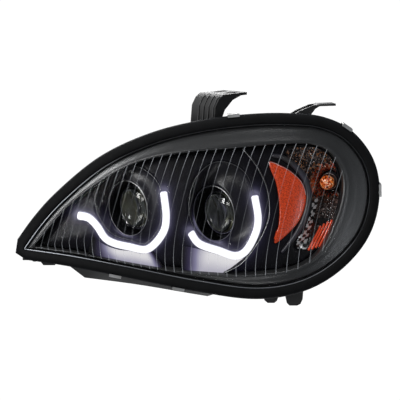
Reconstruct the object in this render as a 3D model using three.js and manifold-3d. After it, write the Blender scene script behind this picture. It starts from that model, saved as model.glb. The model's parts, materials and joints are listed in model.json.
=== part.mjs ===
// Truck headlight assembly for the left-hand fender: a raked teardrop lens in front of two projector
// beams, two light bars and a turn signal, on a housing with brackets, bulb covers and aim screws.
// Millimetres. +X runs along the lamp towards its outboard, rounded end, +Y to the rear, +Z up.
import * as THREE from "three";
import { mergeVertices } from "three/addons/utils/BufferGeometryUtils.js";
import Module from "manifold-3d";

const wasm = await Module();
wasm.setup();
const { PI, cos, sin, tan, hypot, atan2, min, max } = Math;
const rad = (degrees) => (degrees * PI) / 180;
const V = (x, y, z) => new THREE.Vector3(x, y, z);

// ---- Driving dimensions -------------------------------------------------------------------------
const RAKE = 0.35; // how far the lens leans back for each unit of height
const SWEEP = 60; // how far the middle of the rim stands in front of its two ends
const HALF_SPAN = 340;
const DOME = 28; // height of the lens above the plane of its rim
const LENS_WALL = 3;
const SKIRT = 14; // depth of the lens's glued edge
const GASKET = 19; // width of the rubber band round the lens
const WALL = 3; // housing and bezel wall
const GAP = 0.5; // clearance between fitted pieces
const RIM_STEPS = 52;
const ROUND = 24; // sides of a round piece
const BEAM_YAW = 43; // the beams point this far inboard of the lamp's own front
const TURN_YAW = 20;
const RING_R = 52; // shroud ring round each projector
const TUBE_R = 54; // rear tube behind each projector
const TUBE_END = 200; // rear tube's mouth, behind the shroud ring's front

// Places in the lamp's own frame, before its origin is moved to the main bracket's pad.
const CENTRE = { x: 20, z: -5 }; // every outline is seen whole from here
const HIGH_BEAM = V(-133, -15, -13); // middle of the shroud ring's front
const LOW_BEAM = V(25, -24, -21);
const TURN_BULB = V(236, 12, 31);
const PIVOT = V(-3, 33, -92); // the aim frame tilts and swings about this point
const TILT_ARM = 163; // vertical aim screw above the pivot
const YAW_ARM = 70; // horizontal aim screw beside the pivot
const MAIN_FOOT = V(12, 46, 136.5); // middle of each bracket's foot, on its upper face
const SMALL_FOOT = V(206, 53, 140);
const SMALL_YAW = 75;

// Front outlines in X and Z.
const LENS_EDGE = [
  [-323, -85], [-317, -75], [-289, -37], [-253, 2], [-172, 68], [-83, 109], [7, 131], [97, 141],
  [164, 141], [222, 134], [268, 112], [303, 69], [314, 26], [308, -22], [290, -60], [254, -97],
  [209, -124], [158, -139], [97, -143], [0, -130], [-127, -108], [-240, -92], [-313, -86],
];
const BEZEL_OPENING = [
  [-305, -80], [-297, -70], [-239, -4], [-172, 46], [-127, 70], [-83, 84], [-20, 95], [50, 101],
  [142, 107], [204, 105], [236, 92], [256, 66], [264, 36], [260, 2], [245, -38], [218, -84],
  [178, -109], [97, -119], [0, -116], [-83, -109], [-217, -89], [-297, -82],
];
const HIGH_BOWL = [
  [-72, 30], [-88, 52], [-116, 66], [-145, 63], [-174, 44], [-193, 14], [-187, -18], [-171, -42],
  [-153, -55], [-126, -62], [-102, -68], [-90, -61], [-74, -38], [-70, -14],
];
const LOW_BOWL = [
  [96, 28], [84, 55], [60, 72], [28, 76], [0, 58], [-17, 26], [-20, -12], [-10, -40], [6, -56],
  [35, -70], [62, -77], [76, -72], [96, -44], [101, -20],
];
const TURN_POCKET = [
  [156, 94], [212, 97], [242, 78], [255, 45], [258, 15], [243, -32], [218, -74], [196, -76],
  [174, -71], [194, -38], [204, -2], [202, 30], [188, 56], [164, 78],
];
const CRESCENT = [
  [126, 75], [148, 68], [168, 56], [186, 38], [193, 18], [191, -4], [181, -27], [163, -47],
  [135, -66], [142, -38], [144, -2], [139, 36],
];
const HIGH_BAR = [
  [-224, -22], [-203, -25], [-187, -38], [-171, -59], [-156, -67], [-126, -73], [-100, -77],
  [-86, -70], [-65, -42], [-61, -18], [-66, 25],
];
const LOW_BAR = [
  [-17, -44], [-3, -63], [35, -77], [64, -86], [81, -80], [102, -48], [108, -24], [103, 18],
];

// ---- Solids -------------------------------------------------------------------------------------
function toSolid(geometry) {
  const bare = new THREE.BufferGeometry();
  bare.setAttribute("position", geometry.getAttribute("position"));
  bare.setIndex(geometry.index);
  const merged = mergeVertices(bare, 1e-4);
  const vertProperties = new Float32Array(merged.getAttribute("position").array);
  const triVerts = new Uint32Array(merged.index.array);
  return new wasm.Manifold(new wasm.Mesh({ numProp: 3, vertProperties, triVerts }));
}

function toGeometry(solid) {
  const mesh = solid.getMesh();
  const geometry = new THREE.BufferGeometry();
  const points = new Float32Array(mesh.vertProperties);
  geometry.setAttribute("position", new THREE.BufferAttribute(points, 3));
  geometry.setIndex(new THREE.BufferAttribute(new Uint32Array(mesh.triVerts), 1));
  return geometry;
}

const cut = (geometry, ...tools) =>
  toGeometry(tools.reduce((solid, tool) => solid.subtract(toSolid(tool)), toSolid(geometry)));
const join = (...geometries) =>
  toGeometry(geometries.map(toSolid).reduce((solid, other) => solid.add(other)));

// Keeps the largest body where a cut leaves crumbs.
function largest(geometry) {
  const bodies = toSolid(geometry).decompose();
  return toGeometry(bodies.reduce((a, b) => (b.volume() > a.volume() ? b : a)));
}

function volumeOf(position, index) {
  const [a, b, c] = [V(), V(), V()];
  let six = 0;
  for (let i = 0; i < index.length; i += 3) {
    a.fromBufferAttribute(position, index[i]);
    b.fromBufferAttribute(position, index[i + 1]);
    c.fromBufferAttribute(position, index[i + 2]);
    six += a.dot(b.cross(c));
  }
  return six / 6;
}

// Triangles that close a ring of points, seen along its own normal. They turn the way the ring does.
function capOf(ring, start) {
  const normal = V(0, 0, 0);
  ring.forEach((p, i) => normal.add(V().crossVectors(p, ring[(i + 1) % ring.length])));
  normal.normalize();
  const aside = Math.abs(normal.x) < 0.8 ? V(1, 0, 0) : V(0, 0, 1);
  const u = V().crossVectors(normal, aside).normalize();
  const v = V().crossVectors(normal, u);
  const flat = ring.map((p) => new THREE.Vector2(p.dot(u), p.dot(v)));
  return THREE.ShapeUtils.triangulateShape(flat, []).flatMap(([i, j, k]) => {
    const turn = flat[j].clone().sub(flat[i]).cross(flat[k].clone().sub(flat[i]));
    return turn > 0 ? [start + i, start + j, start + k] : [start + i, start + k, start + j];
  });
}

// A closed skin through rings of points that correspond one to one. A loop joins the last ring to the
// first; otherwise each end is capped.
function loft(rings, loop = false) {
  const count = rings[0].length;
  const points = rings.flat();
  const index = [];
  const last = loop ? rings.length : rings.length - 1;
  for (let r = 0; r < last; r++) {
    const here = r * count;
    const there = ((r + 1) % rings.length) * count;
    for (let i = 0; i < count; i++) {
      const j = (i + 1) % count;
      index.push(here + i, there + i, there + j, here + i, there + j, here + j);
    }
  }
  if (!loop) index.push(...capOf(rings[0], 0), ...capOf(rings.at(-1), last * count).reverse());
  const position = new THREE.Float32BufferAttribute(points.flatMap((p) => [p.x, p.y, p.z]), 3);
  if (volumeOf(position, index) < 0) index.reverse();
  return new THREE.BufferGeometry().setAttribute("position", position).setIndex(index);
}

// A turned solid about the beam axis: pairs of radius and distance forward, closed on themselves.
function turned(profile, steps = ROUND) {
  const points = [...profile, profile[0]].map(([r, f]) => new THREE.Vector2(r, f));
  const solid = new THREE.LatheGeometry(points, steps).rotateX(PI / 2);
  const merged = mergeVertices(
    new THREE.BufferGeometry()
      .setAttribute("position", solid.getAttribute("position"))
      .setIndex(solid.index),
    1e-4,
  );
  const index = Array.from(merged.index.array);
  const position = merged.getAttribute("position");
  if (volumeOf(position, index) < 0) index.reverse();
  return merged.setIndex(index);
}

const disc = (radius, from, to, steps = ROUND) =>
  turned([[0, from], [radius, from], [radius, to], [0, to]], steps);
const tube = (outer, inner, from, to, steps = ROUND) =>
  turned([[inner, from], [outer, from], [outer, to], [inner, to]], steps);
const block = (x, y, z, at = V(0, 0, 0)) =>
  new THREE.BoxGeometry(x, y, z).translate(at.x, at.y, at.z);

// A flat profile drawn in two axes and pushed along the third, centred there.
function extruded(profile, depth, holes = []) {
  const shape = new THREE.Shape(profile.map(([a, b]) => new THREE.Vector2(a, b)));
  for (const hole of holes) shape.holes.push(new THREE.Path(hole.map(([a, b]) => V(a, b, 0))));
  const solid = new THREE.ExtrudeGeometry(shape, { depth, bevelEnabled: false, curveSegments: 8 });
  return solid.translate(0, 0, -depth / 2);
}

// ---- Frames -------------------------------------------------------------------------------------
// A unit's own axes: x to its side, y up, z forward along its beam.
const forward = (yaw) => V(-sin(rad(yaw)), -cos(rad(yaw)), 0);
const sideways = (yaw) => V(cos(rad(yaw)), -sin(rad(yaw)), 0);
function unitFrame(origin, yaw) {
  const matrix = new THREE.Matrix4().makeBasis(sideways(yaw), V(0, 0, 1), forward(yaw));
  return matrix.setPosition(origin);
}
const highFrame = unitFrame(HIGH_BEAM, BEAM_YAW);
const lowFrame = unitFrame(LOW_BEAM, BEAM_YAW);
const turnFrame = unitFrame(TURN_BULB, TURN_YAW);
const placed = (geometry, matrix) => geometry.clone().applyMatrix4(matrix);

// ---- Curves and the lens surface ----------------------------------------------------------------
function smoothLoop(points, steps) {
  const knots = points.map(([x, z]) => V(x, 0, z));
  return new THREE.CatmullRomCurve3(knots, true, "centripetal").getSpacedPoints(steps).slice(0, -1);
}

function smoothLine(points, steps) {
  const knots = points.map(([x, z]) => V(x, 0, z));
  return new THREE.CatmullRomCurve3(knots, false, "centripetal").getSpacedPoints(steps);
}

// Distance from a middle to a star-shaped outline, for any bearing.
function polar(points, middle) {
  const table = smoothLoop(points, 360)
    .map((p) => [atan2(p.z - middle.z, p.x - middle.x), hypot(p.x - middle.x, p.z - middle.z)])
    .sort((a, b) => a[0] - b[0]);
  table.unshift([table.at(-1)[0] - 2 * PI, table.at(-1)[1]]);
  table.push([table[1][0] + 2 * PI, table[1][1]]);
  return (angle) => {
    const k = table.findIndex((row) => row[0] >= angle);
    const [a, b] = [table[k - 1], table[k]];
    const t = (angle - a[0]) / (b[0] - a[0] || 1);
    return a[1] + t * (b[1] - a[1]);
  };
}

const edgeReach = polar(LENS_EDGE, CENTRE);
const openingReach = polar(BEZEL_OPENING, CENTRE);
const rimY = (x, z) => RAKE * z - SWEEP * (1 - (x / HALF_SPAN) ** 2);
const rise = (share) => -DOME * (1 - min(1, share) ** 3);
function lensY(x, z) {
  const [dx, dz] = [x - CENTRE.x, z - CENTRE.z];
  return rimY(x, z) + rise(hypot(dx, dz) / edgeReach(atan2(dz, dx)));
}

// Stations round the lens's edge: the point, its bearing from the centre and its outward normal.
const edge = smoothLoop(LENS_EDGE, RIM_STEPS);
const stations = edge.map((p, i) => {
  const along = edge[(i + 1) % RIM_STEPS].clone().sub(edge[(i + RIM_STEPS - 1) % RIM_STEPS]);
  const normal = V(along.z, 0, -along.x).normalize();
  if (normal.dot(V(p.x - CENTRE.x, 0, p.z - CENTRE.z)) < 0) normal.negate();
  return { p, normal, angle: atan2(p.z - CENTRE.z, p.x - CENTRE.x) };
});
const reachAt = (station) => hypot(station.p.x - CENTRE.x, station.p.z - CENTRE.z);

// A point outside the edge by out, or inside it where out is negative, and back behind the rim.
function rimPoint(station, out, back) {
  const { p, normal, angle } = station;
  const spoke = V(cos(angle), 0, sin(angle));
  const lean = out < 0 ? max(spoke.dot(normal), 0.5) : 1;
  const q = p.clone().addScaledVector(out < 0 ? spoke : normal, out / lean);
  return V(q.x, rimY(q.x, q.z) + back, q.z);
}
const rimRing = (out, back) => stations.map((s) => rimPoint(s, out, back));

// A ring at a share of the way from the centre to the edge, at a depth behind the lens's surface.
function shareRing(share, depthOf) {
  return stations.map((s) => {
    const reach = share * reachAt(s);
    const [x, z] = [CENTRE.x + reach * cos(s.angle), CENTRE.z + reach * sin(s.angle)];
    return V(x, depthOf(x, z, share), z);
  });
}

// A ring that follows an outline in X and Z, grown outwards by grow, at a depth of its own.
function outlineRing(points, grow, depthOf, steps = 40) {
  const loop = smoothLoop(points, steps);
  const middle = loop.reduce((sum, p) => sum.add(p), V(0, 0, 0)).divideScalar(loop.length);
  return loop.map((p, i) => {
    const along = loop[(i + 1) % steps].clone().sub(loop[(i + steps - 1) % steps]).normalize();
    const normal = V(along.z, 0, -along.x);
    const q = p.clone().addScaledVector(normal, grow * windingOf(loop, middle));
    return V(q.x, depthOf(q.x, q.z), q.z);
  });
}

function windingOf(loop, middle) {
  let sum = 0;
  loop.forEach((p, i) => {
    const q = loop[(i + 1) % loop.length];
    sum += (p.x - middle.x) * (q.z - middle.z) - (q.x - middle.x) * (p.z - middle.z);
  });
  return sum > 0 ? 1 : -1;
}

// A prism through the lamp from front to rear, for cutting an outline out of a shell.
const prism = (points, grow) =>
  loft([outlineRing(points, grow, () => -300), outlineRing(points, grow, () => 300)]);

// ---- Lens, gasket and housing -------------------------------------------------------------------
const LENS_SHARES = [0.1, 0.4, 0.65, 0.83, 0.95];

function outerLens() {
  const outside = LENS_SHARES.map((share) =>
    shareRing(share, (x, z, s) => rimY(x, z) + rise(s)));
  const inside = LENS_SHARES.map((share) =>
    shareRing(share * 0.985, (x, z, s) => rimY(x, z) + rise(s) + LENS_WALL)).reverse();
  const skirt = [
    rimRing(0, 0), rimRing(0, SKIRT), rimRing(-LENS_WALL, SKIRT), rimRing(-LENS_WALL, LENS_WALL - 0.5),
  ];
  return loft([...outside, ...skirt, ...inside]);
}

function rimGasket() {
  const section = [
    [0.4, -0.5], [3, -4], [11, -5], [16, -2], [GASKET, 4], [15, SKIRT + 0.2], [0.4, SKIRT + 0.2],
  ];
  return loft(section.map(([out, back]) => rimRing(out, back)), true);
}

// The back wall is shallow at the inboard tip and deepest behind the projectors.
const ease = (from, to, x) => THREE.MathUtils.smoothstep(x, from, to);
const backY = (x) => 4 + 66 * ease(-330, -30, x) - 12 * ease(210, 320, x);
const BELLY = 54; // how far the housing swells below the rim on the inboard side
const bellyAt = ({ p }) =>
  p.z < -60 ? BELLY * ease(-262, -222, p.x) * (1 - ease(30, 90, p.x)) : 0;

// The shell's rings from the flange to the back wall: its outer face, or its cavity for a wall over 0.
function housingRings(wall) {
  const root = wall ? rimRing(-5.5, SKIRT + 8) : rimRing(-2, SKIRT + 6);
  const waist = stations.map((s) => {
    const q = rimPoint(s, bellyAt(s) - 6 - 1.2 * wall, 0);
    return V(q.x, 0.45 * (q.y + SKIRT + 6) + 0.55 * backY(q.x) + 0.6 * wall, q.z);
  });
  const shoulder = shareRing(0.9 - wall / 150, (x) => backY(x) - 10 - wall);
  const back = shareRing(0.82 - wall / 150, (x) => backY(x) - wall);
  const floor = [0.5, 0.2].map((share) => shareRing(share, (x) => backY(x) - wall));
  return [root, waist, shoulder, back, ...floor];
}

const flangeFront = SKIRT + GAP;
const flangeRings = [rimRing(-4, flangeFront), rimRing(14, flangeFront), rimRing(14, SKIRT + 6)];
const housingFilled = loft([...flangeRings, ...housingRings(0)]);
const housingInside = loft([rimRing(-4, -150), rimRing(-4, SKIRT), ...housingRings(WALL)]);

const rearTube = (radius, from, to) => disc(radius, -to, -from, 32);
const SOCKET_R = 18;
const BOSS_R = 12;
const SCREW_R = 6; // aim screw's sleeve
const tiltFrame = unitFrame(PIVOT.clone().add(V(0, 0, TILT_ARM)), BEAM_YAW);
const yawFrame = unitFrame(PIVOT.clone().addScaledVector(sideways(BEAM_YAW), YAW_ARM), BEAM_YAW);
const pivotFrame = unitFrame(PIVOT, BEAM_YAW);
const TILT_BOSS = 70; // each aim screw's boss ends this far behind its ball
const YAW_BOSS = 136;

// Flats on the housing's top and underside for the brackets' feet.
const mainFrame = unitFrame(MAIN_FOOT, BEAM_YAW);
const smallFrame = unitFrame(SMALL_FOOT, SMALL_YAW);
const MAIN = { wide: 60, long: 34, thick: 5 };
const SMALL = { wide: 24, long: 30, thick: 5 };
const LOWER_SEAT = { x: 150, y: -44, z: -144, wide: 74, long: 40 }; // seats on the underside
const TIP_SEAT = { x: -292, y: -11, z: -103, wide: 46, long: 20 };
const seatOver = ({ x, y, z, wide, long }, tall) => block(wide, long, tall, V(x, y, z + tall / 2));
const seatUnder = (foot, drop, frame) =>
  placed(block(foot.wide + 4, drop, foot.long + 4, V(0, -foot.thick - GAP - drop / 2, 0)), frame);

function housingBody() {
  const frames = [highFrame, lowFrame];
  const outside = join(
    housingFilled,
    ...frames.map((frame) => placed(rearTube(TUBE_R, 15, TUBE_END), frame)),
    placed(disc(SOCKET_R + 5, -72, -30), turnFrame),
    placed(disc(BOSS_R, -TILT_BOSS, -25), tiltFrame),
    placed(disc(BOSS_R, -YAW_BOSS, -90), yawFrame),
    seatUnder(MAIN, 36, mainFrame),
    seatUnder(SMALL, 30, smallFrame),
    seatOver(LOWER_SEAT, 20),
    seatOver(TIP_SEAT, 25),
  );
  const hollow = cut(
    outside,
    housingInside,
    ...frames.map((frame) => placed(rearTube(TUBE_R - WALL, 5, TUBE_END + 5), frame)),
    placed(disc(SOCKET_R + 1, -90, -20), turnFrame),
    placed(disc(SCREW_R + GAP, -TILT_BOSS - 5, -20), tiltFrame),
    placed(disc(SCREW_R + GAP, -YAW_BOSS - 5, -80), yawFrame),
    ...fasteners.map(({ frame }) => placed(boltHole(), frame)),
  );
  return largest(join(largest(hollow), pivotPost()));
}

// Bolts that hold the brackets' feet: each frame's y axis points out of the seat, its origin is on the
// outer face of the foot.
const BOLT = { head: 5, tall: 4, shank: 2.4, deep: 12 };
const onFoot = (frame, x, z) => frame.clone().multiply(new THREE.Matrix4().makeTranslation(x, 0, z));
const fromBelow = (x, y, z) => new THREE.Matrix4().makeRotationX(-PI / 2).setPosition(x, y, z);
const fasteners = [
  { name: "main_bracket_bolt_1", frame: onFoot(mainFrame, -17, -11) },
  { name: "main_bracket_bolt_2", frame: onFoot(mainFrame, 17, -11) },
  { name: "small_bracket_bolt", frame: onFoot(smallFrame, 0, -9) },
  { name: "lower_bracket_bolt_1", frame: fromBelow(132, -32, LOWER_SEAT.z - GAP - 5) },
  { name: "lower_bracket_bolt_2", frame: fromBelow(168, -32, LOWER_SEAT.z - GAP - 5) },
  { name: "tip_bracket_bolt", frame: fromBelow(-306, -11, TIP_SEAT.z - GAP - 6) },
];
const boltHole = () => disc(BOLT.shank + GAP, -14, 2, 12).rotateX(-PI / 2);
const bolt = () => join(
  disc(BOLT.head, 0.3, BOLT.tall, 6).rotateX(-PI / 2),
  disc(BOLT.shank, -BOLT.deep, 1, 12).rotateX(-PI / 2),
);

// The post that the aim gimbal turns on: it stands on the housing's floor.
const PIN_R = 4;
function pivotPost() {
  const upright = (radius, from, to) =>
    disc(radius, from, to, 20).translate(PIVOT.x, PIVOT.y, 0);
  const post = toSolid(upright(9, -200, PIVOT.z - 9)).intersect(toSolid(housingFilled));
  return join(toGeometry(post), upright(PIN_R, PIVOT.z - 12, PIVOT.z + 3));
}

// ---- Bezel, bowls, light bars and turn signal -----------------------------------------------------
const DECK = 26; // depth of the bezel's deck behind the lens surface
const deckY = (x, z) => lensY(x, z) + DECK;

function bezelShell() {
  const atOpening = (s, pull) => {
    const reach = openingReach(s.angle) - pull;
    return [CENTRE.x + reach * cos(s.angle), CENTRE.z + reach * sin(s.angle)];
  };
  const lip = (pull, depth) => stations.map((s) => {
    const [x, z] = atOpening(s, pull);
    return V(x, lensY(x, z) + depth, z);
  });
  const deck = (thick) => [0.88, 0.7, 0.42, 0.12].map((share) => stations.map((s) => {
    const reach = share * openingReach(s.angle);
    const [x, z] = [CENTRE.x + reach * cos(s.angle), CENTRE.z + reach * sin(s.angle)];
    return V(x, deckY(x, z) + thick, z);
  }));
  const front = [rimRing(-4, 6), rimRing(-6, 4.5), lip(0, 8), lip(2, 11), lip(4, DECK), ...deck(0)];
  const rear = [rimRing(-4, 8.5), lip(-2, 12.5), lip(-0.5, 14), lip(1.5, DECK + WALL)];
  return loft([...[...rear, ...deck(WALL)].reverse(), ...front]);
}

const innerBezel = () =>
  largest(cut(bezelShell(), ...[HIGH_BOWL, LOW_BOWL, TURN_POCKET].map((line) => prism(line, 1.5))));

// A bowl runs from an outline in the deck to the shroud ring, which faces along the beam. Its wall lies
// behind the face that shows, whether that face runs back to the ring or forward to it.
const BOWL_STEPS = 40;
const BOWL_WALL = 2.2;
const BOWL_THROAT = { front: 1, back: -6 };
function beamBowl(outline, origin) {
  const reach = polar(outline, origin);
  const [side, ahead, up] = [sideways(BEAM_YAW), forward(BEAM_YAW), V(0, 0, 1)];
  const [near, far] = [RING_R + 1, RING_R + 1 + BOWL_WALL];
  const throat = (radial, r, f) =>
    origin.clone().addScaledVector(radial, r).addScaledVector(ahead, f);
  const profiles = around((c, s, angle) => {
    const radial = side.clone().multiplyScalar(c).addScaledVector(up, s);
    const edge = (pull) => {
      const r = reach(angle) - pull * BOWL_WALL;
      const [x, z] = [origin.x + r * cos(angle), origin.z + r * sin(angle)];
      return V(x, deckY(x, z), z);
    };
    const along = throat(radial, near, BOWL_THROAT.front).sub(edge(0)).normalize();
    const [out, down] = [along.dot(radial), -along.dot(ahead)];
    const mitre = BOWL_THROAT.front + BOWL_WALL * tan(atan2(out, down) / 2);
    return [
      edge(max(0, -down)).addScaledVector(ahead, BOWL_WALL * min(0, out)), edge(max(0, down)),
      throat(radial, near, BOWL_THROAT.front), throat(radial, near, BOWL_THROAT.back),
      throat(radial, far, BOWL_THROAT.back), throat(radial, far, mitre),
    ];
  }, side);
  const ring = (corner) => profiles.map((profile) => profile[corner]);
  const [edgeBehind, edge, front, inner, outer, mitre] = [0, 1, 2, 3, 4, 5].map(ring);
  const third = (from, to, share) => from.map((p, i) => p.clone().lerp(to[i], share / 3));
  return loft([
    edgeBehind, edge, third(edge, front, 1), third(edge, front, 2), front, inner,
    outer, mitre, third(mitre, edgeBehind, 1), third(mitre, edgeBehind, 2),
  ], true);
}

// Points round a unit's axis, with the bearing that each has from the front.
function around(point, side) {
  return Array.from({ length: BOWL_STEPS }, (_, i) => {
    const turn = (2 * PI * i) / BOWL_STEPS;
    const [c, s] = [cos(turn), sin(turn)];
    return point(c, s, atan2(s, c * side.x));
  });
}

// A bar of light-guide plastic along a line in the deck, with a face flush over its LED board.
const BAR_WIDTH = 14;
const BAR_FACE = 15; // depth of the bar's face behind the lens surface
function bar(line, width, face, back, steps) {
  const path = smoothLine(line, steps);
  const rings = path.map((p, i) => {
    const along = path[min(i + 1, steps)].clone().sub(path[max(i - 1, 0)]).normalize();
    const across = V(-along.z, 0, along.x);
    const corners = [[-0.5, back], [-0.5, face + 3], [-0.3, face], [0.3, face], [0.5, face + 3], [0.5, back]];
    return corners.map(([share, depth]) => {
      const q = p.clone().addScaledVector(across, share * width);
      return V(q.x, lensY(q.x, q.z) + depth, q.z);
    });
  });
  return loft(rings);
}
const lightBar = (line) => bar(line, BAR_WIDTH, BAR_FACE, DECK - 1, 30);
const ledBoard = (line) => bar(line, BAR_WIDTH - 6, DECK + WALL + 2, DECK + WALL + 7, 18);

const crescent = () => {
  const depth = (back) => (x, z) => lensY(x, z) + back;
  return loft([
    outlineRing(CRESCENT, -2, depth(DECK - 7)), outlineRing(CRESCENT, 0, depth(DECK - 5)),
    outlineRing(CRESCENT, 0, depth(DECK - 1.5)),
  ]);
};

// The turn signal's reflector runs from its pocket in the deck to a hole round the socket.
function turnReflector() {
  const steps = 36;
  const outer = outlineRing(TURN_POCKET, -1, deckY, steps);
  const inner = outlineRing(TURN_POCKET, -3, deckY, steps);
  const bearings = outer.map((p) => atan2(p.z - TURN_BULB.z, p.x - TURN_BULB.x));
  for (let i = 1; i < steps; i++) {
    while (bearings[i] - bearings[i - 1] > PI) bearings[i] -= 2 * PI;
    while (bearings[i] - bearings[i - 1] < -PI) bearings[i] += 2 * PI;
  }
  const whole = bearings.at(-1) > bearings[0] ? 2 * PI : -2 * PI;
  const collar = (radius, back) => bearings.map((bearing, i) => {
    const angle = 0.5 * bearing + 0.5 * (bearings[0] + (whole * i) / steps);
    return V(radius * cos(angle), radius * sin(angle), -back).applyMatrix4(turnFrame);
  });
  const between = (edge, hub, share, back) =>
    edge.map((p, i) => p.clone().lerp(hub[i], share).add(V(0, back, 0)));
  const [hubFront, hubBack] = [collar(20, 24), collar(22, 27)];
  return loft([
    outer, inner, between(inner, hubFront, 0.2, 6), between(inner, hubFront, 0.4, 12),
    between(inner, hubFront, 0.7, 6), hubFront, hubBack, between(outer, hubBack, 0.7, 7),
    between(outer, hubBack, 0.4, 14), between(outer, hubBack, 0.2, 8),
  ], true);
}

// ---- Projectors, turned about the beam and measured forward from the shroud ring's front -----------
const LENS_R = 38;
const HOLDER_R = 44;
const REFLECTOR_FLANGE = 76.5; // the reflector's flange, behind the ring's front

function projectorLens() {
  const steps = 6;
  const dome = Array.from({ length: steps + 1 }, (_, i) => {
    const turn = (i / steps) * (PI / 2);
    return [LENS_R * sin(turn), -23 + 19 * cos(turn)];
  });
  return turned([[0, -26], ...dome, [LENS_R, -26]], 32);
}

const lensHolder = () => turned([
  [38.5, -21], [41.5, -21], [41.5, -31], [HOLDER_R, -34], [HOLDER_R, -76], [40, -76], [40, -36],
  [35, -26.5], [38.5, -26.5],
], 28);

const beamShutter = () => cut(disc(39.5, -61.5, -60), block(52, 24, 4, V(0, 12.5, -60.75)));

function projectorReflector() {
  const outside = [[45, -81], [40.5, -81], [37, -104], [20, -132], [20, -142]];
  const inside = [[14.5, -142], [14.5, -134], [33, -106], [38, -76.5]];
  return turned([...inside, [45, -REFLECTOR_FLANGE], ...outside]);
}

const bulbGlass = () => turned([[0, -98], [3, -99], [5, -103], [5, -136], [0, -136]], 16);
const bulbBase = () => join(
  turned([[0, -136.5], [12, -136.5], [12, -142.5], [22, -142.5], [22, -148], [14, -150], [14, -170],
    [0, -170]], 20),
  block(16, 22, 20, V(0, -8, -160)),
);

const shroudRing = () => turned([
  [RING_R - 2.5, 0], [RING_R - 1, 0.8], [RING_R, 0], [RING_R, -28], [RING_R - 2.5, -28],
], 36);

// ---- Aim frame, gimbal and screws -------------------------------------------------------------------
const BALL_R = 5;
const COLLAR = { front: -62, back: -74, wall: 2.8 };
const SPINE = { above: 11, tall: 10, deep: 12 };

// One cast frame holds both projectors by a collar each. It has ears on the gimbal's cross pin, and a
// ball socket for each aim screw.
function aimFrame() {
  const inner = HOLDER_R + 0.4;
  const collars = [highFrame, lowFrame].map((frame) =>
    placed(tube(inner + COLLAR.wall, inner - 1, COLLAR.back, COLLAR.front, 28), frame));
  const middle = (COLLAR.front + COLLAR.back) / 2;
  const feet = [HIGH_BEAM, LOW_BEAM].map((at) => at.clone().addScaledVector(forward(BEAM_YAW), middle));
  const spineZ = PIVOT.z + SPINE.above + SPINE.tall / 2;
  const spineY = (feet[0].y + feet[1].y) / 2;
  const [left, right] = [feet[0].x - 8, feet[1].x + 8];
  const legs = feet.map((foot) => {
    const top = foot.z - inner - 1;
    return block(14, SPINE.deep, top - spineZ, V(foot.x, foot.y, (top + spineZ) / 2));
  });
  const local = [
    block(34, 6, 20, V(0, 10.5, 0)),
    block(5, 20, 14, V(14, 0, 0)),
    block(5, 20, 14, V(-14, 0, 0)),
    block(YAW_ARM - 8, 12, 12, V(14 + (YAW_ARM - 8) / 2, 0, 0)),
    block(8, TILT_ARM - 8, 14, V(0, 8 + (TILT_ARM - 8) / 2 + 0.5, 0)),
    block(18, 18, 16, V(0, TILT_ARM, 0)),
    block(18, 18, 16, V(YAW_ARM, 0, 0)),
  ].map((piece) => placed(piece, pivotFrame));
  const spine = block(right - left, SPINE.deep, SPINE.tall, V((left + right) / 2, spineY, spineZ));
  const holes = [highFrame, lowFrame].map((frame) => placed(disc(inner, -80, -50, 28), frame));
  holes.push(placed(crossPin(PIN_R + 0.4, 19), pivotFrame));
  for (const frame of [tiltFrame, yawFrame]) {
    holes.push(placed(new THREE.SphereGeometry(BALL_R + 0.6, 12, 8), frame));
    holes.push(placed(disc(BALL_R - 0.4, -20, 0, 12), frame));
  }
  return largest(cut(join(...collars, ...legs, spine, ...local), ...holes));
}

const crossPin = (radius, half) => disc(radius, -half, half, 20).rotateY(PI / 2);

function aimGimbal() {
  const body = join(block(20, 14.5, 14, V(0, -0.75, 0)), crossPin(PIN_R, 16.5));
  const bore = disc(PIN_R + 0.4, -9, 4, 20).rotateX(-PI / 2);
  return placed(cut(body, bore), pivotFrame);
}

// The ball stud slides in its screw's sleeve. The sleeve turns in the boss and ends in a knob.
const ballStud = (length) =>
  join(new THREE.SphereGeometry(BALL_R, 12, 8), disc(3, -length, -3, 12));

function aimScrew(start, bossEnd) {
  const [face, tail] = [bossEnd + GAP, bossEnd + 13];
  const sleeve = tube(SCREW_R, 3.5, -tail, -start, 16);
  const grips = Array.from({ length: 6 }, (_, i) => {
    const turn = (i * PI) / 3;
    return block(3, 4, tail - face, V(0, BOSS_R, -(face + tail) / 2)).rotateZ(turn);
  });
  return join(sleeve, tube(BOSS_R, 4, -tail, -face, 16), ...grips);
}

// ---- Covers at the rear and the turn signal's lamp --------------------------------------------------
const COVER_PLATE = TUBE_END + 3.5; // the cover's plate lies behind its seal

function beamCover() {
  const cap = turned([
    [0, -COVER_PLATE - 4], [0, -COVER_PLATE - 0.3], [TUBE_R + GAP, -COVER_PLATE - 0.3],
    [TUBE_R + GAP, -TUBE_END + 8], [TUBE_R + 3.5, -TUBE_END + 8], [TUBE_R + 3.5, -COVER_PLATE - 2],
    [TUBE_R + 1, -COVER_PLATE - 4],
  ], 32);
  const lugs = [0, 1, 2].map((i) =>
    block(14, 4, 10, V(0, TUBE_R + 4.5, -TUBE_END + 2)).rotateZ((i * 2 * PI) / 3 + 0.4));
  return join(cap, block(74, 10, 12, V(0, 0, -COVER_PLATE - 9)), ...lugs);
}
const coverSeal = () => tube(TUBE_R - 0.2, TUBE_R - 5, -COVER_PLATE, -TUBE_END - 0.3, 28);

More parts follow.
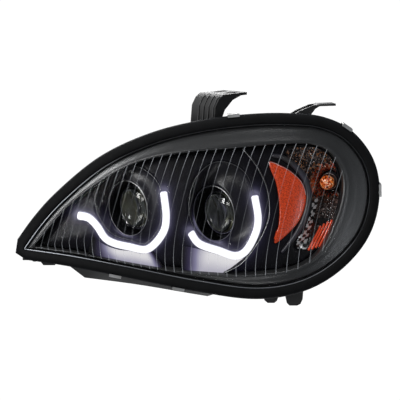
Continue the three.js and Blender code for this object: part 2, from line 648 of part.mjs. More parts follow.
const turnBulb = () => turned([
  [0, 16], [5, 15], [9, 11], [11, 5], [11, -3], [7, -14], [7, -22], [0, -22],
], 18);
function turnSocket() {
  const barrel = turned([
    [8, -20], [SOCKET_R - 0.5, -20], [SOCKET_R - 0.5, -26], [15, -28], [15, -73], [SOCKET_R + 7, -73],
    [SOCKET_R + 7, -79], [14, -80], [14, -96], [0, -96], [0, -26], [8, -26],
  ], 22);
  const inlet = block(18, 13, 20, V(0, 0, -90));
  return cut(join(barrel, inlet), block(13, 8.5, 14, V(0, 0, -94)));
}

// ---- Brackets, clips and other outside fittings -----------------------------------------------------
// A bent plate whose profile is drawn in distance back and height, seen from the unit's side.
const plateOf = (profile, width, x = 0) =>
  extruded(profile, width).rotateY(PI / 2).translate(x, 0, 0);

function mainBracket() {
  const skin = [[-12, -1], [-8, 34], [2, 48], [14, 55], [80, 55], [80, 50], [16, 50], [6, 44.5],
    [-2.8, 32], [-7, -1]];
  const rib = [[-8, -1], [-4, 33], [4, 46], [15, 52], [70, 52], [40, 43], [18, 26], [4, -1]];
  const slots = [-15, 15].map((x) => block(9, 20, 34, V(x, 52, -54)));
  const bores = [-17, 17].map((x) => boltHole().translate(x, 0, -11));
  const solid = join(
    block(MAIN.wide, MAIN.thick, MAIN.long, V(0, -MAIN.thick / 2, 0)),
    plateOf(skin, MAIN.wide),
    ...[-28, 0, 28].map((x) => plateOf(rib, 4, x)),
  );
  return placed(cut(solid, ...slots, ...bores), mainFrame);
}

function smallBracket() {
  const skin = [[-13, -1], [-10, 10], [-5, 19], [3, 28], [12, 33], [46, 33], [46, 29], [14, 29],
    [6, 24.5], [-1, 16], [-6, 8], [-8.5, -1]];
  const rib = [[-12, 2], [-48, 6], [-47, 9], [-26, 21], [1, 31], [12, 32], [-1, 20], [-9, 9]];
  const solid = join(
    block(SMALL.wide, SMALL.thick, SMALL.long, V(0, -SMALL.thick / 2, 0)),
    plateOf(skin, SMALL.wide),
    ...[-10, 10].map((x) => plateOf(rib, 3.5, x)),
  );
  return placed(cut(solid, boltHole().translate(0, 0, -9)), smallFrame);
}

// A bracket under the housing with two hooked lobes and a notch between them.
function lowerBracket() {
  const top = LOWER_SEAT.z - GAP;
  const lobes = [
    [117, -149], [183, -149], [189, -158], [188, -174], [184, -183], [178, -186], [164, -186],
    [159, -181], [156, -168], [150, -163], [144, -168], [141, -177], [136, -181], [124, -181],
    [118, -176], [115, -164],
  ];
  const plate = block(LOWER_SEAT.wide - 2, LOWER_SEAT.long, 5, V(LOWER_SEAT.x, LOWER_SEAT.y, top - 2.5));
  const hooks = extruded(lobes, 14).rotateX(PI / 2).translate(0, -53, 0);
  const bores = fasteners.filter(({ name }) => name.startsWith("lower"));
  return cut(join(plate, hooks), ...bores.map(({ frame }) => placed(boltHole(), frame)));
}

function tipBracket() {
  const top = TIP_SEAT.z - GAP;
  const side = [[-328, top], [-268, top], [-268, -119], [-290, -119], [-297, top - 6], [-328, top - 6]];
  const bores = fasteners.filter(({ name }) => name.startsWith("tip"));
  const solid = extruded(side, 20).rotateX(PI / 2).translate(0, TIP_SEAT.y, 0);
  return cut(solid, ...bores.map(({ frame }) => placed(boltHole(), frame)));
}

// A spring clip that grips the gasket and the housing's flange together, at a place on the rim.
const CLIP_WIDTH = 22;
const CLIPS = [[70, 138], [250, 121], [314, 26], [-159, -104], [-37, -125]];
function lensClip([x, z]) {
  const near = stations.reduce((a, b) =>
    (hypot(b.p.x - x, b.p.z - z) < hypot(a.p.x - x, a.p.z - z) ? b : a));
  const along = V(-near.normal.z, 0, near.normal.x);
  const corner = ([out, back], shift) => {
    const q = near.p.clone().addScaledVector(near.normal, out).addScaledVector(along, shift);
    return V(q.x, rimY(q.x, q.z) + back, q.z);
  };
  const slab = (corners) =>
    loft([-CLIP_WIDTH / 2, CLIP_WIDTH / 2].map((shift) => corners.map((c) => corner(c, shift))));
  return join(
    slab([[20, -4], [21.5, -4], [21.5, 22.5], [20, 22.5]]),
    slab([[16.5, -5], [21.5, -4], [21.5, -2.5], [16.5, -3.5]]),
    slab([[8, 20.8], [21.5, 20.8], [21.5, 22.5], [8, 22.5]]),
  );
}

const DRIVER = V(142, 80, 75); // middle of the light bars' driver box, on the back wall
const ledDriver = () => cut(
  join(block(64, 17, 38, DRIVER), block(20, 12, 15, V(DRIVER.x + 37, DRIVER.y, DRIVER.z))),
  block(16, 8, 11, V(DRIVER.x + 42, DRIVER.y, DRIVER.z)),
);
const ventCap = () => join(
  disc(5, 0, 8, 20), turned([[0, 6], [10, 6], [10, 13], [8, 15], [0, 15]], 20),
).rotateX(-PI / 2).translate(86, backY(86) + GAP, 78);

// ---- The assembly ---------------------------------------------------------------------------------
const material = (color, roughness, metalness = 0, extra = {}) =>
  new THREE.MeshStandardMaterial({ color, roughness, metalness, ...extra });
const MATERIALS = {
  clear: material(0xdfe6ea, 0.05, 0, { transparent: true, opacity: 0.35 }),
  glass: material(0xd3dce0, 0.03, 0, { transparent: true, opacity: 0.5 }),
  rubber: material(0x17181b, 0.85),
  housing: material(0x1b1c1e, 0.7),
  bezel: material(0x2a2c30, 0.35),
  bowl: material(0x0b0c0e, 0.15),
  chrome: material(0xd9dcdf, 0.08, 1),
  guide: material(0xf2f5ff, 0.4, 0, { emissive: 0xf2f5ff, emissiveIntensity: 1 }),
  amber: material(0xe8681c, 0.3),
  board: material(0x17462c, 0.6),
  casting: material(0x8d9196, 0.45, 0.9),
  bracket: material(0x202124, 0.65),
  steel: material(0xb9bcbf, 0.35, 1),
};

const group = new THREE.Group();
group.name = "car_headlight_assembly";
const pad = V(0, 55, -38).applyMatrix4(mainFrame);
function add(name, geometry, slot, frame) {
  const solid = frame ? placed(geometry, frame) : geometry.clone();
  solid.translate(-pad.x, -pad.y, -pad.z).computeVertexNormals();
  const mesh = new THREE.Mesh(solid, MATERIALS[slot]);
  mesh.name = name;
  mesh.material.name = slot;
  group.add(mesh);
}

add("housing_shell", housingBody(), "housing");
add("outer_lens", outerLens(), "clear");
add("rim_gasket", rimGasket(), "rubber");
add("inner_bezel", innerBezel(), "bezel");
for (const [beam, outline, origin, frame] of [
  ["high_beam", HIGH_BOWL, HIGH_BEAM, highFrame],
  ["low_beam", LOW_BOWL, LOW_BEAM, lowFrame],
]) {
  add(`${beam}_bowl`, beamBowl(outline, origin), "bowl");
  add(`${beam}_shroud_ring`, shroudRing(), "chrome", frame);
  add(`${beam}_projector_lens`, projectorLens(), "glass", frame);
  add(`${beam}_lens_holder`, lensHolder(), "casting", frame);
  add(`${beam}_cutoff_shutter`, beamShutter(), "steel", frame);
  add(`${beam}_reflector`, projectorReflector(), "chrome", frame);
  add(`${beam}_bulb`, bulbGlass(), "glass", frame);
  add(`${beam}_bulb_base`, bulbBase(), "bracket", frame);
  add(`${beam}_cover`, beamCover(), "bracket", frame);
  add(`${beam}_cover_seal`, coverSeal(), "rubber", frame);
}
add("light_bar_inner", lightBar(HIGH_BAR), "guide");
add("light_bar_outer", lightBar(LOW_BAR), "guide");
add("led_board_inner", ledBoard(HIGH_BAR), "board");
add("led_board_outer", ledBoard(LOW_BAR), "board");
add("led_driver", ledDriver(), "housing");
add("amber_reflector", crescent(), "amber");
add("turn_signal_reflector", turnReflector(), "chrome");
add("turn_signal_bulb", turnBulb(), "amber", turnFrame);
add("turn_signal_socket", turnSocket(), "bracket", turnFrame);
add("aim_frame", aimFrame(), "casting");
add("aim_gimbal", aimGimbal(), "steel");
add("vertical_ball_stud", ballStud(44), "steel", tiltFrame);
add("vertical_aim_screw", aimScrew(26, TILT_BOSS), "bracket", tiltFrame);
add("horizontal_ball_stud", ballStud(92), "steel", yawFrame);
add("horizontal_aim_screw", aimScrew(74, YAW_BOSS), "bracket", yawFrame);
add("main_bracket", mainBracket(), "bracket");
add("small_bracket", smallBracket(), "bracket");
add("lower_bracket", lowerBracket(), "bracket");
add("tip_bracket", tipBracket(), "bracket");
add("vent_cap", ventCap(), "rubber");
for (const { name, frame } of fasteners) add(name, bolt(), "steel", frame);
CLIPS.forEach((at, i) => add(`lens_clip_${i + 1}`, lensClip(at), "steel"));

export default group;
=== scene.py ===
"""Truck headlight: fine surfaces, materials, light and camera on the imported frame."""
import json
import math
import random
from math import atan2, cos, floor, hypot, pi, sin

import bmesh
import bpy
from mathutils import Matrix, Vector
from mathutils.geometry import delaunay_2d_cdt


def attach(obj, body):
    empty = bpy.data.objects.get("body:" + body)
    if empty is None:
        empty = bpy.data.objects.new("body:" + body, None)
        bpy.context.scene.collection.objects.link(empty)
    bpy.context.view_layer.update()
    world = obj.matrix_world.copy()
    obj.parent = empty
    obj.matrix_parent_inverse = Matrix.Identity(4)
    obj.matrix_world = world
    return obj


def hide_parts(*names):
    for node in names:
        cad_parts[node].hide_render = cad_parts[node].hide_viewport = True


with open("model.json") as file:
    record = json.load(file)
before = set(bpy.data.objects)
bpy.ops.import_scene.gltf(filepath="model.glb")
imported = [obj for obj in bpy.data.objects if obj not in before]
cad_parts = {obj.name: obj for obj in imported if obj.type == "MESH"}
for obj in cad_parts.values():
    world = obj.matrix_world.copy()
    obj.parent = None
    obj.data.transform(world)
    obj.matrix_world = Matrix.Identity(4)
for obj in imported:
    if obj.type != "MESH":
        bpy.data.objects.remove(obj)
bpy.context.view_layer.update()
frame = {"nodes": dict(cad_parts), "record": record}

for spare in ("Cube", "Light", "Camera"):
    if spare in bpy.data.objects:
        bpy.data.objects.remove(bpy.data.objects[spare])

# ---- The lamp's dimensions, in millimetres in its own design frame ----
RAKE = 0.35
SWEEP = 60
HALF_SPAN = 340
DOME = 28
LENS_WALL = 3
SKIRT = 14
GASKET = 19
DECK = 26
BAR_WIDTH = 14
BAR_FACE = 15
BEAM_YAW = math.radians(43)
TURN_YAW = math.radians(20)
FLUTE_YAW = math.radians(34)
FLUTE_PITCH = 13.7
RING_R = 52
LENS_R = 38
CENTRE = Vector((20, 0, -5))
HIGH_BEAM = Vector((-133, -15, -13))
LOW_BEAM = Vector((25, -24, -21))
TURN_BULB = Vector((236, 12, 31))

LENS_EDGE = [
    (-323, -85), (-317, -75), (-289, -37), (-253, 2), (-172, 68), (-83, 109), (7, 131), (97, 141),
    (164, 141), (222, 134), (268, 112), (303, 69), (314, 26), (308, -22), (290, -60), (254, -97),
    (209, -124), (158, -139), (97, -143), (0, -130), (-127, -108), (-240, -92), (-313, -86),
]
BEZEL_OPENING = [
    (-305, -80), (-297, -70), (-239, -4), (-172, 46), (-127, 70), (-83, 84), (-20, 95), (50, 101),
    (142, 107), (204, 105), (236, 92), (256, 66), (264, 36), (260, 2), (245, -38), (218, -84),
    (178, -109), (97, -119), (0, -116), (-83, -109), (-217, -89), (-297, -82),
]
HIGH_BOWL = [
    (-72, 30), (-88, 52), (-116, 66), (-145, 63), (-174, 44), (-193, 14), (-187, -18), (-171, -42),
    (-153, -55), (-126, -62), (-102, -68), (-90, -61), (-74, -38), (-70, -14),
]
LOW_BOWL = [
    (96, 28), (84, 55), (60, 72), (28, 76), (0, 58), (-17, 26), (-20, -12), (-10, -40), (6, -56),
    (35, -70), (62, -77), (76, -72), (96, -44), (101, -20),
]
TURN_POCKET = [
    (156, 94), (212, 97), (242, 78), (255, 45), (258, 15), (244, -34), (221, -79), (198, -82),
    (173, -76), (194, -38), (204, -2), (202, 30), (188, 56), (164, 78),
]
CRESCENT = [
    (126, 75), (148, 68), (168, 56), (186, 38), (193, 18), (191, -4), (181, -27), (163, -47),
    (135, -66), (142, -38), (144, -2), (139, 36),
]
HIGH_BAR = [
    (-224, -22), (-203, -25), (-187, -38), (-171, -59), (-156, -67), (-126, -73), (-100, -77),
    (-86, -70), (-65, -42), (-61, -18), (-66, 25),
]
LOW_BAR = [
    (-17, -44), (-3, -63), (35, -77), (64, -86), (80, -80), (99, -50), (105, -24), (99, 18),
]

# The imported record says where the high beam's axis is; that fixes the design frame's place.
joints = {joint["name"]: joint for joint in frame["record"]["behaviour"]["joints"]}
OFFSET = Vector(joints["high_beam_cover_turn"]["pos_m"]) * 1000 - HIGH_BEAM


def row(point):
    """A point of the design frame in millimetres, in the row's frame in metres."""
    return (Vector(point) + OFFSET) / 1000


def ahead(yaw):
    return Vector((-sin(yaw), -cos(yaw), 0))


def aside(yaw):
    return Vector((cos(yaw), -sin(yaw), 0))


def unit(origin, yaw):
    """A unit's own axes: x to its side, y up and z forward along its beam."""
    columns = (aside(yaw), Vector((0, 0, 1)), ahead(yaw))
    return Matrix.Translation(origin) @ Matrix(columns).transposed().to_4x4()


HIGH_FRAME = unit(HIGH_BEAM, BEAM_YAW)
LOW_FRAME = unit(LOW_BEAM, BEAM_YAW)
TURN_FRAME = unit(TURN_BULB, TURN_YAW)


# ---- Curves and the lens surface ----
def catmull(points, closed, detail=24):
    """A centripetal Catmull-Rom curve through the points, densely sampled."""
    knots = [Vector((x, 0, z)) for x, z in points]
    count = len(knots)
    if not closed:
        knots = [knots[0] * 2 - knots[1], *knots, knots[-1] * 2 - knots[-2]]
    out = []
    for i in range(count if closed else count - 1):
        if closed:
            a, b, c, d = (knots[(i + k) % count] for k in (-1, 0, 1, 2))
        else:
            a, b, c, d = knots[i : i + 4]
        t0, t1 = 0, (b - a).length ** 0.5
        t2 = t1 + (c - b).length ** 0.5
        t3 = t2 + (d - c).length ** 0.5
        for k in range(detail):
            t = t1 + (t2 - t1) * k / detail
            ab = a.lerp(b, (t - t0) / (t1 - t0))
            bc = b.lerp(c, (t - t1) / (t2 - t1))
            cd = c.lerp(d, (t - t2) / (t3 - t2))
            abc = ab.lerp(bc, (t - t0) / (t2 - t0))
            bcd = bc.lerp(cd, (t - t1) / (t3 - t1))
            out.append(abc.lerp(bcd, (t - t1) / (t2 - t1)))
    if not closed:
        out.append(knots[-2])
    return out


def spaced(line, steps, closed):
    """Points at even distances along a dense line."""
    line = line + [line[0]] if closed else line
    lengths = [0]
    for a, b in zip(line, line[1:]):
        lengths.append(lengths[-1] + (b - a).length)
    out, k = [], 0
    for i in range(steps if closed else steps + 1):
        goal = lengths[-1] * i / steps
        while k < len(line) - 2 and lengths[k + 1] < goal:
            k += 1
        span = (lengths[k + 1] - lengths[k]) or 1
        out.append(line[k].lerp(line[k + 1], min(1, (goal - lengths[k]) / span)))
    return out


def loop(points, steps):
    return spaced(catmull(points, True), steps, True)


def polar(points, middle):
    """Distance from a middle to a star-shaped outline, for any bearing."""
    table = sorted(
        (atan2(p.z - middle.z, p.x - middle.x), hypot(p.x - middle.x, p.z - middle.z))
        for p in loop(points, 720)
    )
    table = [(table[-1][0] - 2 * pi, table[-1][1]), *table, (table[0][0] + 2 * pi, table[0][1])]

    def reach(angle):
        low, high = 0, len(table) - 1
        while high - low > 1:
            half = (low + high) // 2
            low, high = (half, high) if table[half][0] <= angle else (low, half)
        (a, r), (b, s) = table[low], table[high]
        return r + (s - r) * (angle - a) / ((b - a) or 1)

    return reach


def turns(count, more=0):
    """Even angles round a full turn; more repeats the first ones a turn later."""
    return [2 * pi * k / count for k in range(count + more)]


def ease(low, high, value):
    t = min(1, max(0, (value - low) / (high - low)))
    return t * t * (3 - 2 * t)


edge_reach = polar(LENS_EDGE, CENTRE)
opening_reach = polar(BEZEL_OPENING, CENTRE)


def rim_y(x, z):
    return RAKE * z - SWEEP * (1 - (x / HALF_SPAN) ** 2)


def rise(share):
    return -DOME * (1 - min(1, share) ** 3)


def lens_y(x, z):
    dx, dz = x - CENTRE.x, z - CENTRE.z
    return rim_y(x, z) + rise(hypot(dx, dz) / edge_reach(atan2(dz, dx)))


def on_lens(x, z, depth):
    """The point behind the lens's face by a depth."""
    return Vector((x, lens_y(x, z) + depth, z))


def at_depth(line, depth):
    return [on_lens(p.x, p.z, depth) for p in line]


STATIONS = 240
edge = loop(LENS_EDGE, STATIONS)
bearings = [atan2(p.z - CENTRE.z, p.x - CENTRE.x) for p in edge]
normals = []
for i, p in enumerate(edge):
    along = edge[(i + 1) % STATIONS] - edge[i - 1]
    normal = Vector((along.z, 0, -along.x)).normalized()
    normals.append(normal if normal.dot(p - CENTRE) > 0 else -normal)


def rim_ring(out, back):
    """Points outside the lens's edge by out, or inside it where out is negative."""
    ring = []
    for p, normal, angle in zip(edge, normals, bearings):
        spoke = Vector((cos(angle), 0, sin(angle)))
        step = spoke * (out / max(spoke.dot(normal), 0.5)) if out < 0 else normal * out
        q = p + step
        ring.append(Vector((q.x, rim_y(q.x, q.z) + back, q.z)))
    return ring


def share_ring(share, back=0.0, rise_share=None):
    """Points at a share of the way from the centre to the lens's edge, behind its face by back."""
    ring = []
    for angle in bearings:
        r = share * edge_reach(angle)
        x, z = CENTRE.x + r * cos(angle), CENTRE.z + r * sin(angle)
        y = lens_y(x, z) if rise_share is None else rim_y(x, z) + rise(rise_share)
        ring.append(Vector((x, y + back, z)))
    return ring


def lip_ring(pull, back):
    """Points inside the bezel's opening by pull, behind the lens's face by back."""
    ring = []
    for angle in bearings:
        r = opening_reach(angle) - pull
        ring.append(on_lens(CENTRE.x + r * cos(angle), CENTRE.z + r * sin(angle), back))
    return ring


# ---- Mesh helpers ----
def piece(name, vertices, faces, material, body="housing", stands_for=(), slot=None, smooth=True):
    """A mesh object from design-frame points. It rides on a body and may stand for CAD nodes."""
    mesh = bpy.data.meshes.new(name)
    mesh.from_pydata([row(v) for v in vertices], [], faces)
    shell = bmesh.new()
    shell.from_mesh(mesh)
    bmesh.ops.remove_doubles(shell, verts=shell.verts, dist=1e-6)
    bmesh.ops.recalc_face_normals(shell, faces=shell.faces)
    shell.to_mesh(mesh)
    shell.free()
    for face in mesh.polygons:
        face.use_smooth = smooth
    mesh.materials.append(material)
    made = bpy.data.objects.new(name, mesh)
    bpy.context.scene.collection.objects.link(made)
    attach(made, body)
    if stands_for:
        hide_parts(*stands_for)
    return made


def grid(rings, around=True, along=False):
    """Vertices and quads over rings of equal length, closed round each ring and along them if told."""
    count = len(rings[0])
    vertices = [v for ring in rings for v in ring]
    faces = []
    for r in range(len(rings) if along else len(rings) - 1):
        here, there = r * count, (r + 1) % len(rings) * count
        for i in range(count if around else count - 1):
            j = (i + 1) % count
            faces.append((here + i, here + j, there + j, there + i))
    return vertices, faces


def closed_ends(vertices, faces, count):
    """Adds a fan to each end of a grid of closed rings."""
    for start, ring in ((0, vertices[:count]), (len(vertices) - count, vertices[-count:])):
        vertices = vertices + [sum(ring, Vector()) / count]
        hub = len(vertices) - 1
        faces = faces + [(start + i, start + (i + 1) % count, hub) for i in range(count)]
    return vertices, faces


def lathe(profile, place, steps=72):
    """A turned surface about a unit's beam: the profile holds pairs of radius and distance forward."""
    rings = []
    for radius, forward in profile:
        rings.append([place @ Vector((radius * cos(t), radius * sin(t), forward)) for t in turns(steps)])
    return grid(rings)


def loop_profile(radius, forward, size):
    """The profile of a round wire, bent into a ring of the given radius, for lathe."""
    return [(radius + size * cos(t), forward + size * sin(t)) for t in turns(10, 1)]


def across_at(path, i):
    """The direction across an open path at its point i, in the X and Z plane."""
    along = (path[min(i + 1, len(path) - 1)] - path[max(i - 1, 0)]).normalized()
    return Vector((-along.z, 0, along.x))


def swept(path, sections):
    """A solid along an open line. A section holds pairs of distance across and depth behind the lens."""
    rings = []
    for i, section in enumerate(sections):
        places = [(path[i] + across_at(path, i) * half, depth) for half, depth in section]
        rings.append([on_lens(q.x, q.z, depth) for q, depth in places])
    return closed_ends(*grid(rings), len(sections[0]))


def mark(made, name, values, domain="POINT"):
    """Stores a value on each point or face of a piece, for its material to read."""
    attribute = made.data.attributes.new(name, "FLOAT", domain)
    for i, value in enumerate(values):
        attribute.data[i].value = value


def design_points(made):
    """A piece's points in the design frame, in millimetres."""
    return [vertex.co * 1000 - OFFSET for vertex in made.data.vertices]


def bead(path, radius, closed):
    """A round bead along a line of points."""
    rings, sides = [], 8
    last = len(path) - 1
    for i, p in enumerate(path):
        after = path[(i + 1) % len(path)] if closed else path[min(i + 1, last)]
        before = path[i - 1] if closed else path[max(i - 1, 0)]
        along = (after - before).normalized()
        u = along.cross(Vector((0, 1, 0))).normalized()
        v = along.cross(u)
        rings.append([p + u * (radius * cos(t)) + v * (radius * sin(t)) for t in turns(sides)])
    vertices, faces = grid(rings, along=closed)
    return (vertices, faces) if closed else closed_ends(vertices, faces, sides)


def thicken(made, thickness):
    """Gives a sheet a wall, in millimetres, away from its face."""
    wall = made.modifiers.new("wall", "SOLIDIFY")
    wall.thickness = thickness / 1000
    wall.offset = -1
    return made


def bevel(made, width):
    edges = made.modifiers.new("edges", "BEVEL")
    edges.width = width / 1000
    edges.segments = 2
    edges.limit_method = "ANGLE"
    edges.angle_limit = math.radians(35)
    edges.harden_normals = True
    return made


# ---- Materials ----
def principled(name, roughness, metallic=0.0, **sockets):
    """A material with one Principled shader. Constants go straight on its sockets."""
    material = bpy.data.materials.new(name)
    material.use_nodes = True
    shader = material.node_tree.nodes["Principled BSDF"]
    shader.inputs["Roughness"].default_value = roughness
    shader.inputs["Metallic"].default_value = metallic
    for socket, value in sockets.items():
        shader.inputs[socket.replace("_", " ")].default_value = value
    return material


def node(material, kind, **settings):
    made = material.node_tree.nodes.new(kind)
    for key, value in settings.items():
        if key in made.inputs:
            made.inputs[key].default_value = value
        else:
            setattr(made, key, value)
    return made


def join(material, output, target):
    material.node_tree.links.new(output, target)


def shader_of(material):
    return material.node_tree.nodes["Principled BSDF"]


def noise(material, scale, detail=4.0, stretch=(1, 1, 1)):
    """Noise over the object's own coordinates; scale counts features in a metre."""
    coordinates = node(material, "ShaderNodeTexCoord")
    mapping = node(material, "ShaderNodeMapping", Scale=stretch)
    texture = node(material, "ShaderNodeTexNoise", Scale=scale, Detail=detail)
    join(material, coordinates.outputs["Object"], mapping.inputs["Vector"])
    join(material, mapping.outputs["Vector"], texture.inputs["Vector"])
    return texture.outputs["Fac"]


def stored(material, name):
    """The value that mark has put on the mesh under a name."""
    return node(material, "ShaderNodeAttribute", attribute_name=name).outputs["Fac"]


def ramp(material, factor, *stops):
    """A colour ramp: stops are pairs of position and colour."""
    made = node(material, "ShaderNodeValToRGB")
    elements = made.color_ramp.elements
    while len(elements) < len(stops):
        elements.new(0.5)
    for element, (position, color) in zip(elements, stops):
        element.position = position
        element.color = (*color, 1)
    join(material, factor, made.inputs["Fac"])
    return made.outputs["Color"]


def grey(level, tint=(1, 1, 1)):
    return tuple(level * t for t in tint)


def paint(material, color):
    join(material, color, shader_of(material).inputs["Base Color"])


def mottle(material, scale, dark, light, detail=4.0):
    """Colour that drifts between two tones."""
    paint(material, ramp(material, noise(material, scale, detail), (0.3, dark), (0.7, light)))
    return material


def grain(material, scale, height, strength=0.5, stretch=(1, 1, 1), source=None):
    """A fine relief of the given height in millimetres."""
    made = node(material, "ShaderNodeBump", Strength=strength, Distance=height / 1000)
    join(material, source or noise(material, scale, 3.0, stretch), made.inputs["Height"])
    join(material, made.outputs["Normal"], shader_of(material).inputs["Normal"])
    return material


def scuffs(material, scale, low, high):
    """Roughness that varies over the surface."""
    made = node(material, "ShaderNodeMapRange")
    made.inputs["To Min"].default_value = low
    made.inputs["To Max"].default_value = high
    join(material, noise(material, scale, 5.0), made.inputs["Value"])
    join(material, made.outputs["Result"], shader_of(material).inputs["Roughness"])
    return material


def shine(material, strength, color):
    """Makes a material give light: the colour is constant or a node's output."""
    shader = shader_of(material)
    if isinstance(color, tuple):
        shader.inputs["Emission Color"].default_value = (*color, 1)
    else:
        join(material, color, shader.inputs["Emission Color"])
    shader.inputs["Emission Strength"].default_value = strength
    return material


def light_edged_plastic(name, dark, light, edge, roughness):
    """Moulded plastic with a fine grain and its sharp edges lighter."""
    material = principled(name, roughness, Specular_IOR_Level=0.35)
    body = ramp(material, noise(material, 60), (0.3, dark), (0.7, light))
    geometry = node(material, "ShaderNodeNewGeometry")
    edges = ramp(material, geometry.outputs["Pointiness"], (0.52, (0, 0, 0)), (0.6, (1, 1, 1)))
    mix = node(material, "ShaderNodeMix", data_type="RGBA")
    mix.inputs[7].default_value = (*edge, 1)
    join(material, edges, mix.inputs[0])
    join(material, body, mix.inputs[6])
    paint(material, mix.outputs[2])
    return grain(scuffs(material, 150, roughness - 0.08, roughness + 0.1), 1800, 0.12, 0.35)


def rubber():
    material = principled("foam_rubber", 0.72, Sheen_Weight=0.03, Specular_IOR_Level=0.12)
    shader_of(material).inputs["Sheen Tint"].default_value = (0.55, 0.62, 0.8, 1)
    mottle(material, 45, grey(0.002), grey(0.004, (0.95, 1, 1.1)))
    return grain(scuffs(material, 300, 0.62, 0.82), 1400, 0.25, 0.5)


def satin_bezel():
    """Satin paint with a fine metal flake."""
    material = principled("satin_bezel", 0.34, 0.7)
    mottle(material, 600, grey(0.056), grey(0.072, (0.97, 1, 1.03)), 2.0)
    return grain(scuffs(material, 90, 0.3, 0.42), 2500, 0.03, 0.12)


def gloss_black(name, level, low, high, specular=0.32):
    """Black plastic with a painted violet spill of the bars' light, given as emission where its glow
    attribute is above zero.
    """
    material = principled(name, low, Specular_IOR_Level=specular)
    # painted light: the violet spill of the bars, as emission
    color = ramp(
        material, stored(material, "glow"), (0.0, (0, 0, 0)), (0.3, (0.006, 0.0055, 0.012)),
        (0.65, (0.03, 0.028, 0.052)), (1.0, (0.11, 0.105, 0.165)),
    )
    shine(material, 1.0, color)
    mottle(material, 30, grey(level), grey(level * 2, (0.9, 0.86, 1.3)))
    return grain(scuffs(material, 70, low, high), 120, 0.02, 0.1)


def plated(name, level, low, high):
    material = principled(name, low, 1.0)
    mottle(material, 40, grey(level * 0.9), grey(level, (0.98, 1, 1.02)))
    return grain(scuffs(material, 200, low, high), 900, 0.02, 0.2)


def cast_metal():
    material = principled("die_cast", 0.5, 1.0)
    mottle(material, 120, grey(0.28), grey(0.4))
    return grain(scuffs(material, 260, 0.42, 0.62), 1500, 0.15, 0.5)


def zinc():
    material = principled("zinc_plate", 0.32, 1.0)
    mottle(material, 80, grey(0.5, (1, 0.99, 0.94)), grey(0.68))
    return grain(scuffs(material, 220, 0.25, 0.45), 700, 0.05, 0.35, stretch=(1, 1, 6))


def clear_lens():
    """Hard-coated clear plastic: nearly invisible face on, brighter where it turns away."""
    material = principled("clear_lens", 0.04, Specular_IOR_Level=0.5)
    mottle(material, 20, (0.02, 0.022, 0.025), (0.035, 0.037, 0.04))
    facing = node(material, "ShaderNodeLayerWeight", Blend=0.25)
    alpha = node(material, "ShaderNodeMapRange")
    alpha.inputs["From Min"].default_value = 0.05
    alpha.inputs["To Min"].default_value = 0.012
    alpha.inputs["To Max"].default_value = 0.22
    join(material, facing.outputs["Fresnel"], alpha.inputs["Value"])
    join(material, alpha.outputs["Result"], shader_of(material).inputs["Alpha"])
    return grain(material, 25, 0.03, 0.1)


def flute_line():
    """Thin raised flutes with a painted glint: a whitish glow, strongest near the lens's upper and lower
    edges.
    """
    material = principled("lens_flutes", 0.2, Specular_IOR_Level=0.6)
    mottle(material, 200, (0.80, 0.84, 0.90), (0.95, 0.97, 1.0))
    shine(material, 0.12, (0.85, 0.9, 1))
    join(material, stored(material, "painted_glint"), shader_of(material).inputs["Alpha"])
    return material


def projector_glass():
    material = principled("pressed_glass", 0.02, IOR=1.5, Transmission_Weight=1.0)
    mottle(material, 15, (0.90, 0.94, 0.90), (0.97, 0.98, 0.97))
    return grain(material, 60, 0.02, 0.15)


def amber_plastic():
    """Amber reflex plastic: a fine web of cells under a bright face, which carries a painted glow."""
    material = principled("amber_reflex", 0.28, Specular_IOR_Level=0.4, Coat_Weight=0.2)
    coordinates = node(material, "ShaderNodeTexCoord")
    cells = node(material, "ShaderNodeTexVoronoi", Scale=480, Randomness=0.7)
    join(material, coordinates.outputs["Object"], cells.inputs["Vector"])
    color = ramp(
        material, cells.outputs["Distance"], (0.0, (0.66, 0.068, 0.012)), (0.4, (0.5, 0.044, 0.008)),
        (0.7, (0.24, 0.02, 0.003)),
    )
    paint(material, color)
    # painted glow: the amber colour given again as emission
    shine(material, 0.3, color)
    return grain(material, 0, 0.4, 0.35, source=cells.outputs["Distance"])


def amber_glass():
    """Amber glass whose facets differ in tone."""
    material = principled("amber_glass", 0.1, Specular_IOR_Level=0.6, Coat_Weight=0.6)
    color = ramp(
        material, stored(material, "facet"), (0.0, (0.1, 0.012, 0.003)), (0.4, (0.5, 0.05, 0.008)),
        (0.75, (0.85, 0.2, 0.03)), (1.0, (1.0, 0.66, 0.36)),
    )
    paint(material, color)
    shine(material, 0.25, color)
    return grain(material, 300, 0.1, 0.3)


def faceted_chrome():
    """Metallised facets, some with a painted chrome glint and some with a painted amber glint."""
    material = principled("turn_facets", 0.2, 0.3)
    color = ramp(
        material, stored(material, "facet"), (0.0, grey(0.01)), (0.3, (0.06, 0.035, 0.03)),
        (0.5, (0.22, 0.17, 0.15)), (0.7, grey(0.7)), (0.86, (0.4, 0.17, 0.07)), (0.93, (0.42, 0.05, 0.01)),
    )
    paint(material, color)
    return grain(scuffs(material, 150, 0.08, 0.22), 500, 0.03, 0.25)


def glowing(name, strength):
    """A lit guide: brightest in the middle of its face and bluish at its sides."""
    material = principled(name, 0.4)
    mottle(material, 200, grey(0.5), grey(0.6))
    light = ramp(
        material, stored(material, "glow"), (0.0, (0.06, 0.06, 0.12)), (0.35, (0.17, 0.17, 0.25)),
        (0.6, (0.38, 0.38, 0.45)), (1.0, (0.57, 0.57, 0.585)),
    )
    return shine(material, strength, light)


def beam_mirror_painted_glow():
    """The plate inside a projector, with a painted dim olive glow that stands for light from the lamp round
    it.
    """
    material = plated("beam_mirror_painted_glow", 0.22, 0.1, 0.2)
    # painted glow: dim olive light in patches, as emission
    light = ramp(
        material, noise(material, 55, 6.0), (0.42, (0.001, 0.001, 0.001)), (0.56, (0.018, 0.017, 0.010)),
        (0.66, (0.1, 0.095, 0.055)), (0.74, (0.5, 0.49, 0.4)),
    )
    return shine(material, 1.0, light)


